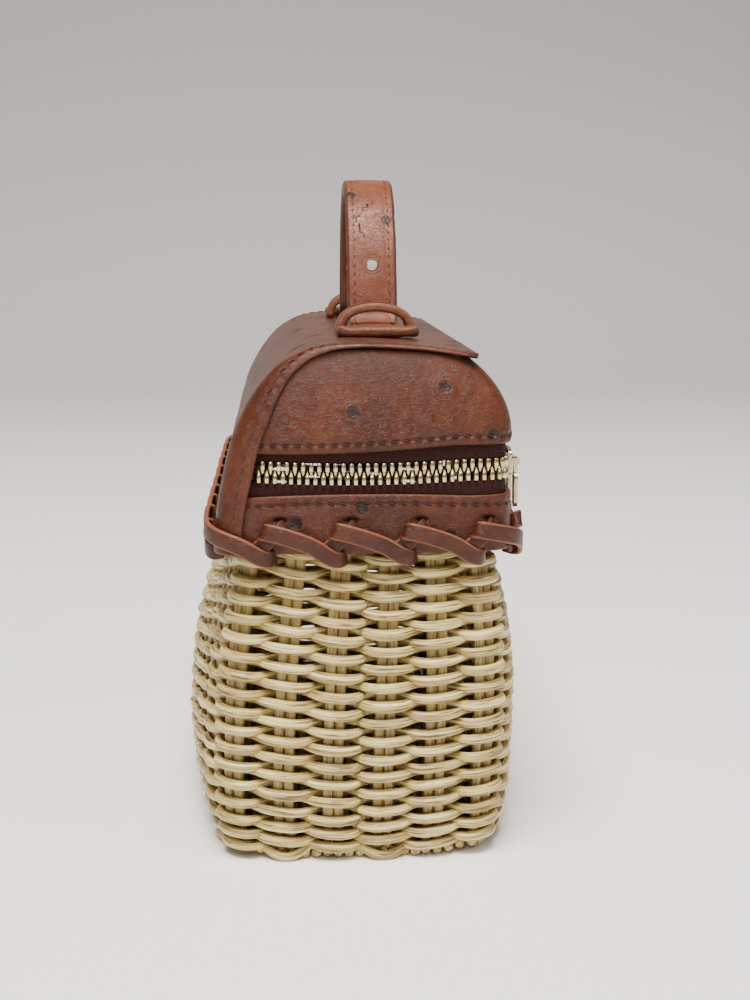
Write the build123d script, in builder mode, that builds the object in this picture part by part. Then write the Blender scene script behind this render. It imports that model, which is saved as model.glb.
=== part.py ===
"""Basket box bag: a woven reed basket with a zipped leather lid, laced rim and top handle.

Frame, in millimetres: X runs along the bag, the front with the zip sliders faces -Y,
+Z is up, and the origin is the middle of the flat underside.
"""

import math
import os

import numpy as np
from build123d import *

# ---------------------------------------------------------------- driving sizes
LEATHER = 1.3            # thickness of every leather piece of the body
SEAM_GAP = 0.15          # between two leather layers
SEAM_LAP = 6.0           # how far one layer runs under the next at a seam

BAG_HALF_LENGTH = 93.5   # leather, middle of the bag to the upright edge of an end face
BAG_FRONT = 44.3         # leather front below the zip
BAG_BACK = 40.3          # leather back at the rim
END_BULGE = 1.8          # how far the end faces stand out in plan
CORNER_RADIUS = 11.0     # upright corners of the leather, in plan

BASKET_HEIGHT = 86.5     # floor to the lower edge of the leather
ZIP_RISE = 25.0          # from there to the middle of the zip, where the leather hinge is too
LID_RISE = 34.0          # from there to the top of the lid
ZIP_GAP_BELOW = 7.1      # zip middle to the lower leather edge
ZIP_GAP_ABOVE = 6.9      # zip middle to the upper leather edge
FRONT_LEAN = 13.8        # how far the lid's front leans in at the top
FRONT_CURVE = 2.4        # how late it leans in: 1 is a straight slope
END_LEAN = 6.2           # how far each end of the lid leans in at the top
END_CURVE = 1.6
LEAN_START = 3.5         # above the zip's middle, where the front and ends begin to lean
BACK_SOFTNESS = 0.7      # keeps the rounded back from closing level with the top
PANEL_WRAP = 8.2         # how far the back panel comes round onto each end face

BASKET_WALL = 6.0        # stakes and weavers together
BASE_THICKNESS = 5.0
BASE_CLEARANCE = 0.2
BAND_OVERHANG = 4.0      # the leather's front stands out further than the basket's by this
FOOT_HEIGHT = 6.0        # height of the foot border
RIM_HEIGHT = 5.0         # height of the border under the leather
RIM_ABOVE = 6.5          # how far the basket reaches up inside the leather
RIM_CLEARANCE = 0.5      # leather to basket
BELLY_HEIGHT = 25.0      # height where the basket is widest
BELLY_LENGTH_OVER = 0.5  # the belly's corners stand out past the leather's, along X
BELLY_WIDTH_OVER = 1.7   # and along Y
BELLY_END_BULGE = 3.4
BELLY_SIDE_BULGE = 10.5
BELLY_RADIUS = 8.0
BELLY_TO_RIM = 2.5       # how late the sides draw in towards the rim
BELLY_TO_FOOT = 2.4      # and towards the foot
RIM_FORWARD = 3.0        # the rim stands further forward than the belly by this
FOOT_LENGTH_IN = 0.8     # the foot's corners lie in from the leather's, along X
FOOT_WIDTH_IN = 2.8      # and along Y
FOOT_END_BULGE = 2.0
FOOT_SIDE_BULGE = 8.0
FOOT_RADIUS = 8.0

LACE_THICKNESS = 1.6
LACE_CLEARANCE = 0.15
LACE_BELOW = 2.0         # lace below the leather's lower edge
LACE_ABOVE = 11.0        # and above it

TAPE = 0.6               # zip tape thickness
TOOTH_PITCH = 2.2
TOOTH_WIDTH = 1.3
TOOTH_DEPTH = 2.2        # through the tape
TOOTH_ROOT = 2.9         # from the zip's middle line
TOOTH_SHOULDER = 1.2
TOOTH_NOSE = 0.45
NOSE_WIDTH = 0.7
NOSE_DEPTH = 1.5
ZIP_END_SPACE = 2.0      # bare tape at each end of the zip
HINGE_GAP = 0.4          # fold line of the leather hinge

SLIDER_LENGTH = 8.6
SLIDER_TAPER = 0.8       # each edge of a slider draws in by this towards its narrow end
SLIDER_CORNER = 1.4
SLIDER_PLATE = 1.0
SLIDER_CLEARANCE = 0.3   # plates and lip to the teeth, lip to the tape
SLIDER_LIP = 0.9
WEB_HEIGHT = 0.4         # joins the plates between the two rows of teeth
WEB_LENGTH = 4.0
EAR_THICKNESS = 0.9
EAR_GAP = 2.8            # between a slider's two ears
EAR_RADIUS = 0.95
BAIL_RADIUS = 0.5
BAIL_REACH = 1.6         # bail's axis in front of the slider's plate
EYE_RADIUS = 1.2
EYE_CLEARANCE = 0.15
EYE_SIDE_CLEARANCE = 0.25
PULL_LENGTH = 13.2       # bail's axis to the tip
PULL_WIDTH = 4.4
PULL_THICKNESS = 1.0
PULL_NECK_LENGTH = 3.0
PULL_SLOT_WIDTH = 1.5
PULL_SLOT_LENGTH = 4.6
SLIDER_FROM_CORNER = 17.5
SLIDER_SPACING = 12.5

HANDLE_SHIFT = 3.65      # handle's middle line behind the middle of the lid's flat top
STRAP_WIDTH = 15.4
STRAP_THICKNESS = 2.8
STRAP_REST_GAP = 0.3     # strap above the lid
STRAP_END_OUT = 13.5     # outer edge of each wide end, past the loop's outer edge
STRAP_END_LENGTH = 7.0
STRAP_END_OVER = 1.2     # each side of a wide end past the loop, so that it stops there
STRAP_END_CORNER = 2.5
HANDLE_RISE = 46.5       # top of the handle above the lid
HANDLE_PLAY = 3.5        # how far the strap slides each way under its loops
HANDLE_CLEARANCE = 0.5
FOOT_BEND = 5.5          # radius of the bend where a leg leaves the lid
FOOT_BEND_ANGLE = 84.0
ARCH_FULLNESS = 1.5      # how squarely the arch turns over from its legs
LOOP_OUTER_X = 50.5
LOOP_DEPTH = 9.0
LOOP_SIDE_CLEARANCE = 1.8
LOOP_HEADROOM = 6.0      # inside a loop above the strap
LOOP_THICKNESS = 1.3
LOOP_FOOT = 3.4          # straight part of a loop above the lid

os.makedirs("parts", exist_ok=True)

UNDER = LEATHER + SEAM_GAP               # depth of the second leather layer
TAPE_DEPTH = UNDER + LEATHER + SEAM_GAP  # depth of the zip tape
BAND_BOTTOM = BASKET_HEIGHT
ZIP_HEIGHT = BAND_BOTTOM + ZIP_RISE
LID_TOP = ZIP_HEIGHT + LID_RISE
LEAN_FROM = ZIP_HEIGHT + LEAN_START
RIM_TOP = BAND_BOTTOM + RIM_ABOVE


def export(part, name):
    """Labels a finished piece and writes it as one STEP file."""
    part.label = name
    export_step(part, f"parts/{name}.step")


def plan(z, x, front, back, end_bulge, side_bulge, radius):
    """A rounded box in plan at height z, with its sides straight or curved outwards."""
    middle = (front + back) / 2
    with BuildSketch(Plane.XY.offset(z)) as sketch:
        with BuildLine():
            if side_bulge:
                ThreePointArc((-x, front), (0, front - side_bulge), (x, front))
            else:
                Line((-x, front), (x, front))
            ThreePointArc((x, front), (x + end_bulge, middle), (x, back))
            if side_bulge:
                ThreePointArc((x, back), (0, back + side_bulge), (-x, back))
            else:
                Line((x, back), (-x, back))
            ThreePointArc((-x, back), (-x - end_bulge, middle), (-x, front))
        make_face()
        fillet(sketch.vertices(), radius)
    return sketch.sketch


# ---------------------------------------------------------------- leather outline
def back_y(z):
    """Back of the leather at height z: it leans in and rounds over into the top."""
    rise = max(0.0, (z - BAND_BOTTOM) / (LID_TOP - BAND_BOTTOM + BACK_SOFTNESS))
    return BAG_BACK * (1.0 - rise**1.9) ** 0.38


def lean(z):
    """0 up to the height where the front and ends begin to lean, 1 at the lid's top."""
    return max(0.0, (z - LEAN_FROM) / (LID_TOP - LEAN_FROM))


def front_y(z):
    """Front of the leather at height z."""
    return FRONT_LEAN * lean(z) ** FRONT_CURVE - BAG_FRONT


def end_x(z):
    """Half length of the leather at height z."""
    return BAG_HALF_LENGTH - END_LEAN * lean(z) ** END_CURVE


def inset(profile, depth, z):
    """Where the surface `depth` inside a profile is at height z."""
    heights = np.linspace(BAND_BOTTOM - 10.0, LID_TOP, 240)
    across = np.array([profile(height) for height in heights])
    slope_across, slope_up = np.gradient(across), np.gradient(heights)
    length = np.hypot(slope_across, slope_up)
    side = math.copysign(1.0, across[0])
    moved = across - side * depth * slope_up / length
    raised = heights + side * depth * slope_across / length
    return float(np.interp(z, raised, moved))


def leather_section(depth, z):
    """The leather's outline in plan at height z, `depth` under its surface."""
    sides = (inset(profile, depth, z) for profile in (end_x, front_y, back_y))
    return plan(z, *sides, END_BULGE, 0.0, CORNER_RADIUS - depth)


def leather_body(depth, low, high):
    """The solid inside the leather's outline, `depth` under its surface."""
    top = min(high, LID_TOP - depth)
    levels = 4 if top < LEAN_FROM else 10
    with BuildPart() as body:
        for level in range(levels):
            rise = math.sin(level / (levels - 1) * math.pi / 2)
            add(leather_section(depth, low + (top - low) * rise))
        loft()
    return body.part


def layer(outer, inner, low, high):
    """A leather layer between two depths and two heights; it closes over the lid's top."""
    return leather_body(outer, low, high) - leather_body(inner, low, high)


def opening(lap=0.0):
    """Prism along X: what the back and top panel leaves free for the gusset and band."""
    low = BAND_BOTTOM - 5.0
    top = LID_TOP - LEATHER + LEATHER * lap / SEAM_LAP
    share = (0.0, 0.2, 0.4, 0.55, 0.7, 0.8, 0.88, 0.95)
    heights = [low + (LID_TOP - LEATHER - low) * part for part in share]
    edge_points = [(back_y(z) - PANEL_WRAP + lap, z) for z in heights]
    edge_points.append((back_y(LID_TOP - LEATHER) - PANEL_WRAP - 2.0 + lap, top))
    with BuildPart() as prism:
        with BuildSketch(Plane.YZ):
            with BuildLine():
                edge = Spline(*edge_points)
                Polyline(edge @ 1, (-2 * BAG_FRONT, top), (-2 * BAG_FRONT, low), edge @ 0)
            make_face()
        extrude(amount=BAG_HALF_LENGTH + 30.0, both=True)
    return prism.part


free_side = opening()
free_side_with_lap = opening(SEAM_LAP)


# ---------------------------------------------------------------- basket
def basket_section(depth, z):
    """The basket in plan at height z, `depth` inside its outside: foot, belly, rim."""
    rim_depth = TAPE_DEPTH + RIM_CLEARANCE
    rim = np.array([
        BAG_HALF_LENGTH - rim_depth,
        BAG_FRONT - BAND_OVERHANG - rim_depth,
        BAG_BACK - rim_depth,
        END_BULGE,
        0.0,
        CORNER_RADIUS - rim_depth,
    ])
    belly = np.array([
        BAG_HALF_LENGTH + BELLY_LENGTH_OVER,
        BAG_FRONT - BAND_OVERHANG + BELLY_WIDTH_OVER,
        BAG_BACK + BELLY_WIDTH_OVER,
        BELLY_END_BULGE,
        BELLY_SIDE_BULGE,
        BELLY_RADIUS,
    ])
    foot = np.array([
        BAG_HALF_LENGTH - FOOT_LENGTH_IN,
        BAG_FRONT - BAND_OVERHANG - FOOT_WIDTH_IN,
        BAG_BACK - FOOT_WIDTH_IN,
        FOOT_END_BULGE,
        FOOT_SIDE_BULGE,
        FOOT_RADIUS,
    ])
    rim_from = BAND_BOTTOM - 2.0
    if z < BELLY_HEIGHT:
        shape = belly + (foot - belly) * ((BELLY_HEIGHT - z) / BELLY_HEIGHT) ** BELLY_TO_FOOT
        forward = 0.0
    else:
        share = min(1.0, (z - BELLY_HEIGHT) / (rim_from - BELLY_HEIGHT))
        shape = belly + (rim - belly) * share**BELLY_TO_RIM
        forward = RIM_FORWARD * share
    x, front, back, end_bulge, side_bulge, radius = (float(value) for value in shape)
    front_side = depth - front - forward
    back_side = back - depth - forward
    return plan(z, x - depth, front_side, back_side, end_bulge, side_bulge, radius - depth)


def basket_body(depth, low, high):
    """The solid inside the basket's outside between two heights, `depth` in from it."""
    steps = max(1, round((high - low) / 9.0))
    with BuildPart() as body:
        for step in range(steps + 1):
            add(basket_section(depth, low + (high - low) * step / steps))
        loft()
    return body.part


with BuildPart() as basket_wall:
    add(basket_body(0.0, FOOT_HEIGHT, RIM_TOP - RIM_HEIGHT))
    add(basket_body(BASKET_WALL, FOOT_HEIGHT, RIM_TOP - RIM_HEIGHT), mode=Mode.SUBTRACT)

with BuildPart() as rim_border:
    add(basket_body(0.0, RIM_TOP - RIM_HEIGHT, RIM_TOP))
    add(basket_body(BASKET_WALL, RIM_TOP - RIM_HEIGHT, RIM_TOP), mode=Mode.SUBTRACT)

with BuildPart() as foot_border:
    add(basket_body(0.0, 0.0, FOOT_HEIGHT))
    add(basket_body(BASKET_WALL, 0.0, FOOT_HEIGHT), mode=Mode.SUBTRACT)

with BuildPart() as basket_base:
    add(basket_body(BASKET_WALL + BASE_CLEARANCE, 0.0, BASE_THICKNESS))

# ---------------------------------------------------------------- leather below the zip
with BuildPart() as lower_band:
    add(layer(UNDER, UNDER + LEATHER, BAND_BOTTOM, ZIP_HEIGHT - ZIP_GAP_BELOW))
    add(free_side_with_lap, mode=Mode.INTERSECT)

with BuildPart() as back_hinge_panel:
    add(layer(0.0, LEATHER, BAND_BOTTOM, ZIP_HEIGHT - HINGE_GAP / 2))
    add(free_side, mode=Mode.SUBTRACT)

with BuildPart() as lace:
    lace_outside = -LACE_CLEARANCE - LACE_THICKNESS
    add(layer(lace_outside, -LACE_CLEARANCE, BAND_BOTTOM - LACE_BELOW, BAND_BOTTOM + LACE_ABOVE))

# ---------------------------------------------------------------- leather above the zip
with BuildPart() as lid_top_panel:
    add(layer(0.0, LEATHER, ZIP_HEIGHT + HINGE_GAP / 2, LID_TOP))
    add(free_side, mode=Mode.SUBTRACT)

with BuildPart() as lid_gusset:
    add(layer(UNDER, UNDER + LEATHER, ZIP_HEIGHT + ZIP_GAP_ABOVE, LID_TOP))
    add(free_side_with_lap, mode=Mode.INTERSECT)
    with BuildSketch(Plane.XY.offset(LID_TOP - UNDER - LEATHER)):
        flange_front = front_y(LID_TOP) + UNDER + SEAM_LAP
        with Locations((0.0, flange_front + BAG_BACK / 2)):
            Rectangle(2 * (end_x(LID_TOP) - UNDER - SEAM_LAP), BAG_BACK)
    extrude(amount=LEATHER, mode=Mode.SUBTRACT)


# ---------------------------------------------------------------- zip
def zip_tape(low, high):
    """The woven tape of one side of the zip, sewn behind the leather's edge."""
    with BuildPart() as tape:
        add(layer(TAPE_DEPTH, TAPE_DEPTH + TAPE, low, high))
        add(free_side_with_lap, mode=Mode.INTERSECT)
    return tape


def zip_line():
    """Points 0.1 apart along the zip's middle line, from one edge of the back panel to the other."""
    loop = leather_section(TAPE_DEPTH + TAPE / 2, ZIP_HEIGHT).wire()
    steps = int(loop.length / 0.1)
    points = [loop.position_at(step / steps) for step in range(steps)]
    edge = back_y(ZIP_HEIGHT) - PANEL_WRAP
    free = [point.Y < edge for point in points]
    start = next(i for i in range(steps) if free[i] and not free[i - 1])
    turned = [(start + i) % steps for i in range(steps)]
    return [points[i] for i in turned if free[i]]


def tooth(up):
    """One tooth at the origin: the tape's plane is XZ, the zip runs along X, up is +1 or -1."""
    with BuildPart() as piece:
        with Locations((0, 0, up * (TOOTH_SHOULDER + TOOTH_ROOT) / 2)):
            Box(TOOTH_WIDTH, TOOTH_DEPTH, TOOTH_ROOT - TOOTH_SHOULDER)
        with Locations((0, 0, up * (TOOTH_NOSE + TOOTH_SHOULDER) / 2)):
            Box(NOSE_WIDTH, NOSE_DEPTH, TOOTH_SHOULDER - TOOTH_NOSE)
    return piece.part.solid()


def teeth(up, shift):
    """All the teeth of one side, spaced along the zip's middle line."""
    line = zip_line()
    runs = [(ahead - here).length for here, ahead in zip(line, line[1:], strict=False)]
    lengths = np.cumsum([0.0] + runs)
    count = int((lengths[-1] - 2 * ZIP_END_SPACE) / TOOTH_PITCH)
    placed = []
    for number in range(count):
        k = int(np.searchsorted(lengths, ZIP_END_SPACE + (number + shift) * TOOTH_PITCH))
        step = line[k] - line[k - 1]
        heading = math.degrees(math.atan2(step.Y, step.X))
        placed.append(Pos(line[k].X, line[k].Y, ZIP_HEIGHT) * Rot(0, 0, heading) * tooth(up))
    return Compound(children=placed)


lower_zip_tape = zip_tape(ZIP_HEIGHT - ZIP_GAP_BELOW - SEAM_LAP, ZIP_HEIGHT - TOOTH_ROOT)
upper_zip_tape = zip_tape(ZIP_HEIGHT + TOOTH_ROOT, ZIP_HEIGHT + ZIP_GAP_ABOVE + SEAM_LAP)
lower_zip_teeth = teeth(-1, 0.0)
upper_zip_teeth = teeth(1, 0.5)

# ---------------------------------------------------------------- sliders and pulls
SLIDER_WIDE_END = 2 * (TOOTH_ROOT + SLIDER_CLEARANCE + SLIDER_LIP)
SLIDER_NARROW_END = SLIDER_WIDE_END - 2 * SLIDER_TAPER
SLIDER_LEFT_X = SLIDER_FROM_CORNER - BAG_HALF_LENGTH
SLIDER_RIGHT_X = SLIDER_LEFT_X + SLIDER_SPACING
TAPE_Y = TAPE_DEPTH + TAPE / 2 - BAG_FRONT
TEETH_FACE = TOOTH_DEPTH / 2 + SLIDER_CLEARANCE
PLATE_FRONT_Y = TAPE_Y - TEETH_FACE - SLIDER_PLATE
BAIL_Y = PLATE_FRONT_Y - BAIL_REACH


def slider_plate(x, heading):
    """One plate's outline on the XZ plane, its wide end towards -heading."""
    tip = heading * SLIDER_LENGTH / 2
    with BuildSketch(Plane((x, 0, ZIP_HEIGHT), x_dir=(1, 0, 0), z_dir=(0, -1, 0))) as outline:
        with BuildLine():
            Polyline(
                (-tip, -SLIDER_WIDE_END / 2),
                (0, -SLIDER_WIDE_END / 2),
                (tip, -SLIDER_NARROW_END / 2),
                (tip, SLIDER_NARROW_END / 2),
                (0, SLIDER_WIDE_END / 2),
                (-tip, SLIDER_WIDE_END / 2),
                close=True,
            )
        make_face()
        fillet(outline.vertices(), SLIDER_CORNER)
    return outline.sketch


def slider(x, heading):
    """Slider on the lower row: two plates, the web between them, a lower lip, ears and bail."""
    outline = slider_plate(x, heading)
    lip_top = ZIP_HEIGHT - TOOTH_ROOT - SLIDER_CLEARANCE
    lip_reach = TEETH_FACE - TAPE / 2 - SLIDER_CLEARANCE
    lip_size = (SLIDER_LENGTH / 2, lip_reach + SLIDER_PLATE / 2, SLIDER_LIP)
    front = TAPE_Y - TEETH_FACE
    back = TAPE_Y + TEETH_FACE
    with BuildPart() as body:
        extrude(Pos(0, front, 0) * outline, SLIDER_PLATE)
        extrude(Pos(0, back + SLIDER_PLATE, 0) * outline, SLIDER_PLATE)
        with Locations((x - heading * SLIDER_LENGTH / 4, TAPE_Y, ZIP_HEIGHT)):
            Box(WEB_LENGTH, 2 * TEETH_FACE + SLIDER_PLATE, WEB_HEIGHT)
        for face_y, side in ((front, 1), (back, -1)):
            middle = face_y + side * (lip_reach - SLIDER_PLATE / 2) / 2
            with Locations((x - heading * SLIDER_LENGTH / 8, middle, lip_top - SLIDER_LIP / 2)):
                Box(*lip_size)
        for side in (-1, 1):
            ear_x = x + side * (EAR_GAP + EAR_THICKNESS) / 2
            with BuildSketch(Plane.YZ.offset(ear_x)):
                with Locations((BAIL_Y, ZIP_HEIGHT)):
                    Circle(EAR_RADIUS)
                with Locations((BAIL_Y + BAIL_REACH / 2, ZIP_HEIGHT)):
                    Rectangle(BAIL_REACH, 2 * EAR_RADIUS)
            extrude(amount=EAR_THICKNESS / 2, both=True)
        with BuildSketch(Plane.YZ.offset(x)):
            with Locations((BAIL_Y, ZIP_HEIGHT)):
                Circle(BAIL_RADIUS)
        extrude(amount=EAR_GAP / 2 + EAR_THICKNESS / 2, both=True)
    return body


def pull(x):
    """Pull tab hanging from a slider's bail: an eye, a short neck and a slotted tab."""
    eye_half = EAR_GAP / 2 - EYE_SIDE_CLEARANCE
    tab_length = PULL_LENGTH - PULL_NECK_LENGTH
    with BuildPart() as body:
        with BuildSketch(Plane.YZ.offset(x)):
            with Locations((BAIL_Y, ZIP_HEIGHT)):
                Circle(EYE_RADIUS)
        extrude(amount=eye_half, both=True)
        with BuildSketch(Plane((x, BAIL_Y, ZIP_HEIGHT), x_dir=(1, 0, 0), z_dir=(0, -1, 0))):
            with Locations((0, -PULL_NECK_LENGTH / 2 - 0.5)):
                Rectangle(2 * eye_half, PULL_NECK_LENGTH + 1.0)
            with Locations((0, -PULL_NECK_LENGTH - tab_length / 2)):
                RectangleRounded(PULL_WIDTH, tab_length, PULL_WIDTH / 2 - 0.3)
            with Locations((0, -PULL_LENGTH + 1.4 + PULL_SLOT_LENGTH / 2)):
                SlotOverall(PULL_SLOT_LENGTH, PULL_SLOT_WIDTH, rotation=90, mode=Mode.SUBTRACT)
        extrude(amount=PULL_THICKNESS / 2, both=True)
        with BuildSketch(Plane.YZ.offset(x)):
            with Locations((BAIL_Y, ZIP_HEIGHT)):
                Circle(BAIL_RADIUS + EYE_CLEARANCE)
        extrude(amount=EAR_GAP, both=True, mode=Mode.SUBTRACT)
    return body


slider_left = slider(SLIDER_LEFT_X, -1)
slider_right = slider(SLIDER_RIGHT_X, 1)
pull_left = pull(SLIDER_LEFT_X)
pull_right = pull(SLIDER_RIGHT_X)

# ---------------------------------------------------------------- handle
HANDLE_Y = (front_y(LID_TOP) + back_y(LID_TOP)) / 2 + HANDLE_SHIFT
STRAP_Z = LID_TOP + STRAP_REST_GAP
LOOP_WIDTH = STRAP_WIDTH + 2 * (LOOP_SIDE_CLEARANCE + LOOP_THICKNESS)
LOOP_HEIGHT = STRAP_REST_GAP + STRAP_THICKNESS + LOOP_HEADROOM + LOOP_THICKNESS
STRAP_END_WIDTH = LOOP_WIDTH + 2 * STRAP_END_OVER
STRAP_END_X = LOOP_OUTER_X + STRAP_END_OUT
LEG_FOOT_X = LOOP_OUTER_X - LOOP_DEPTH - HANDLE_PLAY - HANDLE_CLEARANCE

with BuildPart() as handle_strap:
    with BuildSketch(Plane((0, HANDLE_Y, STRAP_Z), x_dir=(1, 0, 0), z_dir=(0, -1, 0))):
        with BuildLine():
            middle = STRAP_THICKNESS / 2
            angle = math.radians(FOOT_BEND_ANGLE)
            leg_x = FOOT_BEND * math.sin(angle) - LEG_FOOT_X
            leg_z = middle + FOOT_BEND * (1 - math.cos(angle))
            left_end = Line((1.0 - STRAP_END_X, middle), (-LEG_FOOT_X, middle))
            left_bend = JernArc(left_end @ 1, (1, 0), FOOT_BEND, FOOT_BEND_ANGLE)
            arch = Spline(
                (leg_x, leg_z),
                (0, LID_TOP + HANDLE_RISE - STRAP_Z - middle),
                (-leg_x, leg_z),
                tangents=(left_bend % 1, (math.cos(angle), -math.sin(angle))),
                tangent_scalars=(ARCH_FULLNESS, ARCH_FULLNESS),
            )
            mirror(left_bend, about=Plane.YZ)
            mirror(left_end, about=Plane.YZ)
        trace(line_width=STRAP_THICKNESS)
    extrude(amount=STRAP_WIDTH / 2, both=True)
    with BuildSketch(Plane.XY.offset(STRAP_Z)):
        for side in (-1, 1):
            with Locations((side * (STRAP_END_X - STRAP_END_LENGTH / 2), HANDLE_Y)):
                RectangleRounded(STRAP_END_LENGTH, STRAP_END_WIDTH, STRAP_END_CORNER)
    extrude(amount=STRAP_THICKNESS)


def loop_arch(width, height):
    """The outline of a loop on the YZ plane: straight feet and a rounded top."""
    with BuildSketch() as outline:
        with BuildLine():
            Polyline((-width / 2, LOOP_FOOT), (-width / 2, 0), (width / 2, 0), (width / 2, LOOP_FOOT))
            Spline(
                (width / 2, LOOP_FOOT),
                (0, height),
                (-width / 2, LOOP_FOOT),
                tangents=((0, 1), (0, -1)),
            )
        make_face()
    return outline.sketch


def handle_loop(side):
    """Leather bridge that the strap slides under, standing on the lid's top."""
    inner_x = side * (LOOP_OUTER_X - LOOP_DEPTH / 2)
    with BuildPart() as loop:
        with BuildSketch(Plane((inner_x, HANDLE_Y, LID_TOP), x_dir=(0, 1, 0), z_dir=(1, 0, 0))):
            add(loop_arch(LOOP_WIDTH, LOOP_HEIGHT))
            add(loop_arch(LOOP_WIDTH - 2 * LOOP_THICKNESS, LOOP_HEIGHT - LOOP_THICKNESS), mode=Mode.SUBTRACT)
        extrude(amount=LOOP_DEPTH / 2, both=True)
    return loop


handle_loop_left = handle_loop(-1)
handle_loop_right = handle_loop(1)

# ---------------------------------------------------------------- files
export(basket_wall.part, "basket_wall")
export(rim_border.part, "rim_border")
export(foot_border.part, "foot_border")
export(basket_base.part, "basket_base")
export(lower_band.part, "lower_band")
export(back_hinge_panel.part, "back_hinge_panel")
export(lace.part, "lace")
export(lid_top_panel.part, "lid_top_panel")
export(lid_gusset.part, "lid_gusset")
export(lower_zip_tape.part, "lower_zip_tape")
export(upper_zip_tape.part, "upper_zip_tape")
export(lower_zip_teeth, "lower_zip_teeth")
export(upper_zip_teeth, "upper_zip_teeth")
export(slider_left.part, "slider_left")
export(slider_right.part, "slider_right")
export(pull_left.part, "pull_left")
export(pull_right.part, "pull_right")
export(handle_strap.part, "handle_strap")
export(handle_loop_left.part, "handle_loop_left")
export(handle_loop_right.part, "handle_loop_right")
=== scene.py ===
"""Looks of the basket box bag: woven basket, laced leather, zip, handle, camera and light.

Lengths inside this script are millimetres in the model's frame; meshes are written in metres.
"""

import math

import bpy
import numpy as np
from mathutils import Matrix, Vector


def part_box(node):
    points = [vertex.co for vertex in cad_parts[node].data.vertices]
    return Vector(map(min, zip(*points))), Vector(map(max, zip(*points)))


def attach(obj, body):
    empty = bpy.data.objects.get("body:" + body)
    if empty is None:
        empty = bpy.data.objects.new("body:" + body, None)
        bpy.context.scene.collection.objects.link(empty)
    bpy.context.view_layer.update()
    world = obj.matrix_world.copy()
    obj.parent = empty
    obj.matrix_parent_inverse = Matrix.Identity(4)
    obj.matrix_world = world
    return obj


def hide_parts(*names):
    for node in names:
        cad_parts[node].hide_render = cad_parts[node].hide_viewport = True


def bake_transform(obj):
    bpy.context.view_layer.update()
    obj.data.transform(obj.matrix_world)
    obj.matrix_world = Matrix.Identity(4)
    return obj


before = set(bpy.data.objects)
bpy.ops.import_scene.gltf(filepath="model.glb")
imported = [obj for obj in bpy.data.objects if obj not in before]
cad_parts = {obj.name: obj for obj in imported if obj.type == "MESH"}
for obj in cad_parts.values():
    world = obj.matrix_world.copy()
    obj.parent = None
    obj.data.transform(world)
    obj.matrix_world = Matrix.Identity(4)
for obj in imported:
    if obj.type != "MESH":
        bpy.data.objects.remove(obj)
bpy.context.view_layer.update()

MM = 0.001
rng = np.random.default_rng(11)


def cad_span(node, axis=2):
    """Lowest and highest of a node of the model along an axis, in millimetres."""
    low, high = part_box(node)
    return low[axis] / MM, high[axis] / MM


# ---------------------------------------------------------------- sizes
LEATHER = 1.3
SEAM_GAP = 0.15
UNDER = LEATHER + SEAM_GAP                   # depth of the second leather layer
TAPE_DEPTH = 2.9
TAPE_THICK = 0.6
BAND_BOTTOM, BAND_TOP = cad_span("lower_band")
GUSSET_BOTTOM = cad_span("lid_gusset")[0]
ZIP_HEIGHT = sum(cad_span("slider_left")) / 2
LID_TOP = cad_span("lid_top_panel")[1]
STRAP_BOTTOM, STRAP_TOP = cad_span("handle_strap")
HANDLE_Y = sum(cad_span("handle_strap", 1)) / 2
BAG_HALF_LENGTH = 93.5
BAG_FRONT = 44.3
BAG_BACK = 40.3
MIDDLE_Y = (BAG_BACK - BAG_FRONT) / 2
HALF_DEPTH = (BAG_BACK + BAG_FRONT) / 2
BACK_OVERRUN = 0.7                           # the back's curve would end above the lid by this
END_BULGE = 1.8
CORNER_RADIUS = 11.0
FRONT_LEAN = 17.2                            # from the zip to the top the front leans in by this,
END_LEAN = 6.2                               # and each end by this
LEAN_FROM = ZIP_HEIGHT + 3.5
PANEL_WRAP = 8.2                             # how far the back panel comes round onto the ends
FRONT_CORNER = 3.5                           # front corners of the top panel, in plan
PLAN_POINTS = 900
GRAIN_SPREAD = 4000.0                        # each reed and lace starts somewhere else in the grain


# ---------------------------------------------------------------- lines
def unit(vectors):
    length = np.linalg.norm(vectors, axis=-1, keepdims=True)
    return vectors / np.maximum(length, 1e-9)


def step_lengths(points):
    return np.linalg.norm(np.diff(points, axis=0), axis=1)


def run_length(points):
    """Length along a polyline, from its start to each of its points."""
    return np.concatenate([[0.0], np.cumsum(step_lengths(points))])


def read_line(at, along, values):
    """Values of a line's points, read at lengths along it."""
    return np.stack([np.interp(at, along, values[:, k]) for k in range(values.shape[1])], -1)


def resample(points, places):
    """A polyline read at a number of even places, or at a list of shares of its length."""
    along = run_length(points)
    if np.isscalar(places):
        return read_line(np.linspace(0.0, along[-1], places), along, points)
    return read_line(places * along[-1], along, points)


def averaged(padded, kernel):
    """Each point of a line replaced by a weighted mean of its neighbours."""
    return np.stack([np.convolve(padded[:, i], kernel, "valid") for i in range(2)], 1)


def smooth_line(points, places, window):
    """A plan line read at shares of its length, after rounding its corners over a window."""
    dense = resample(points, 600)
    width = max(1, int(window / step_lengths(dense).sum() * 600)) | 1
    kernel = np.hanning(width + 2)[1:-1]
    half = width // 2
    before = 2 * dense[0] - dense[half:0:-1]
    after = 2 * dense[-1] - dense[-2:-half - 2:-1]
    smooth = averaged(np.concatenate([before, dense, after]), kernel / kernel.sum())
    return resample(smooth, places)


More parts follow.
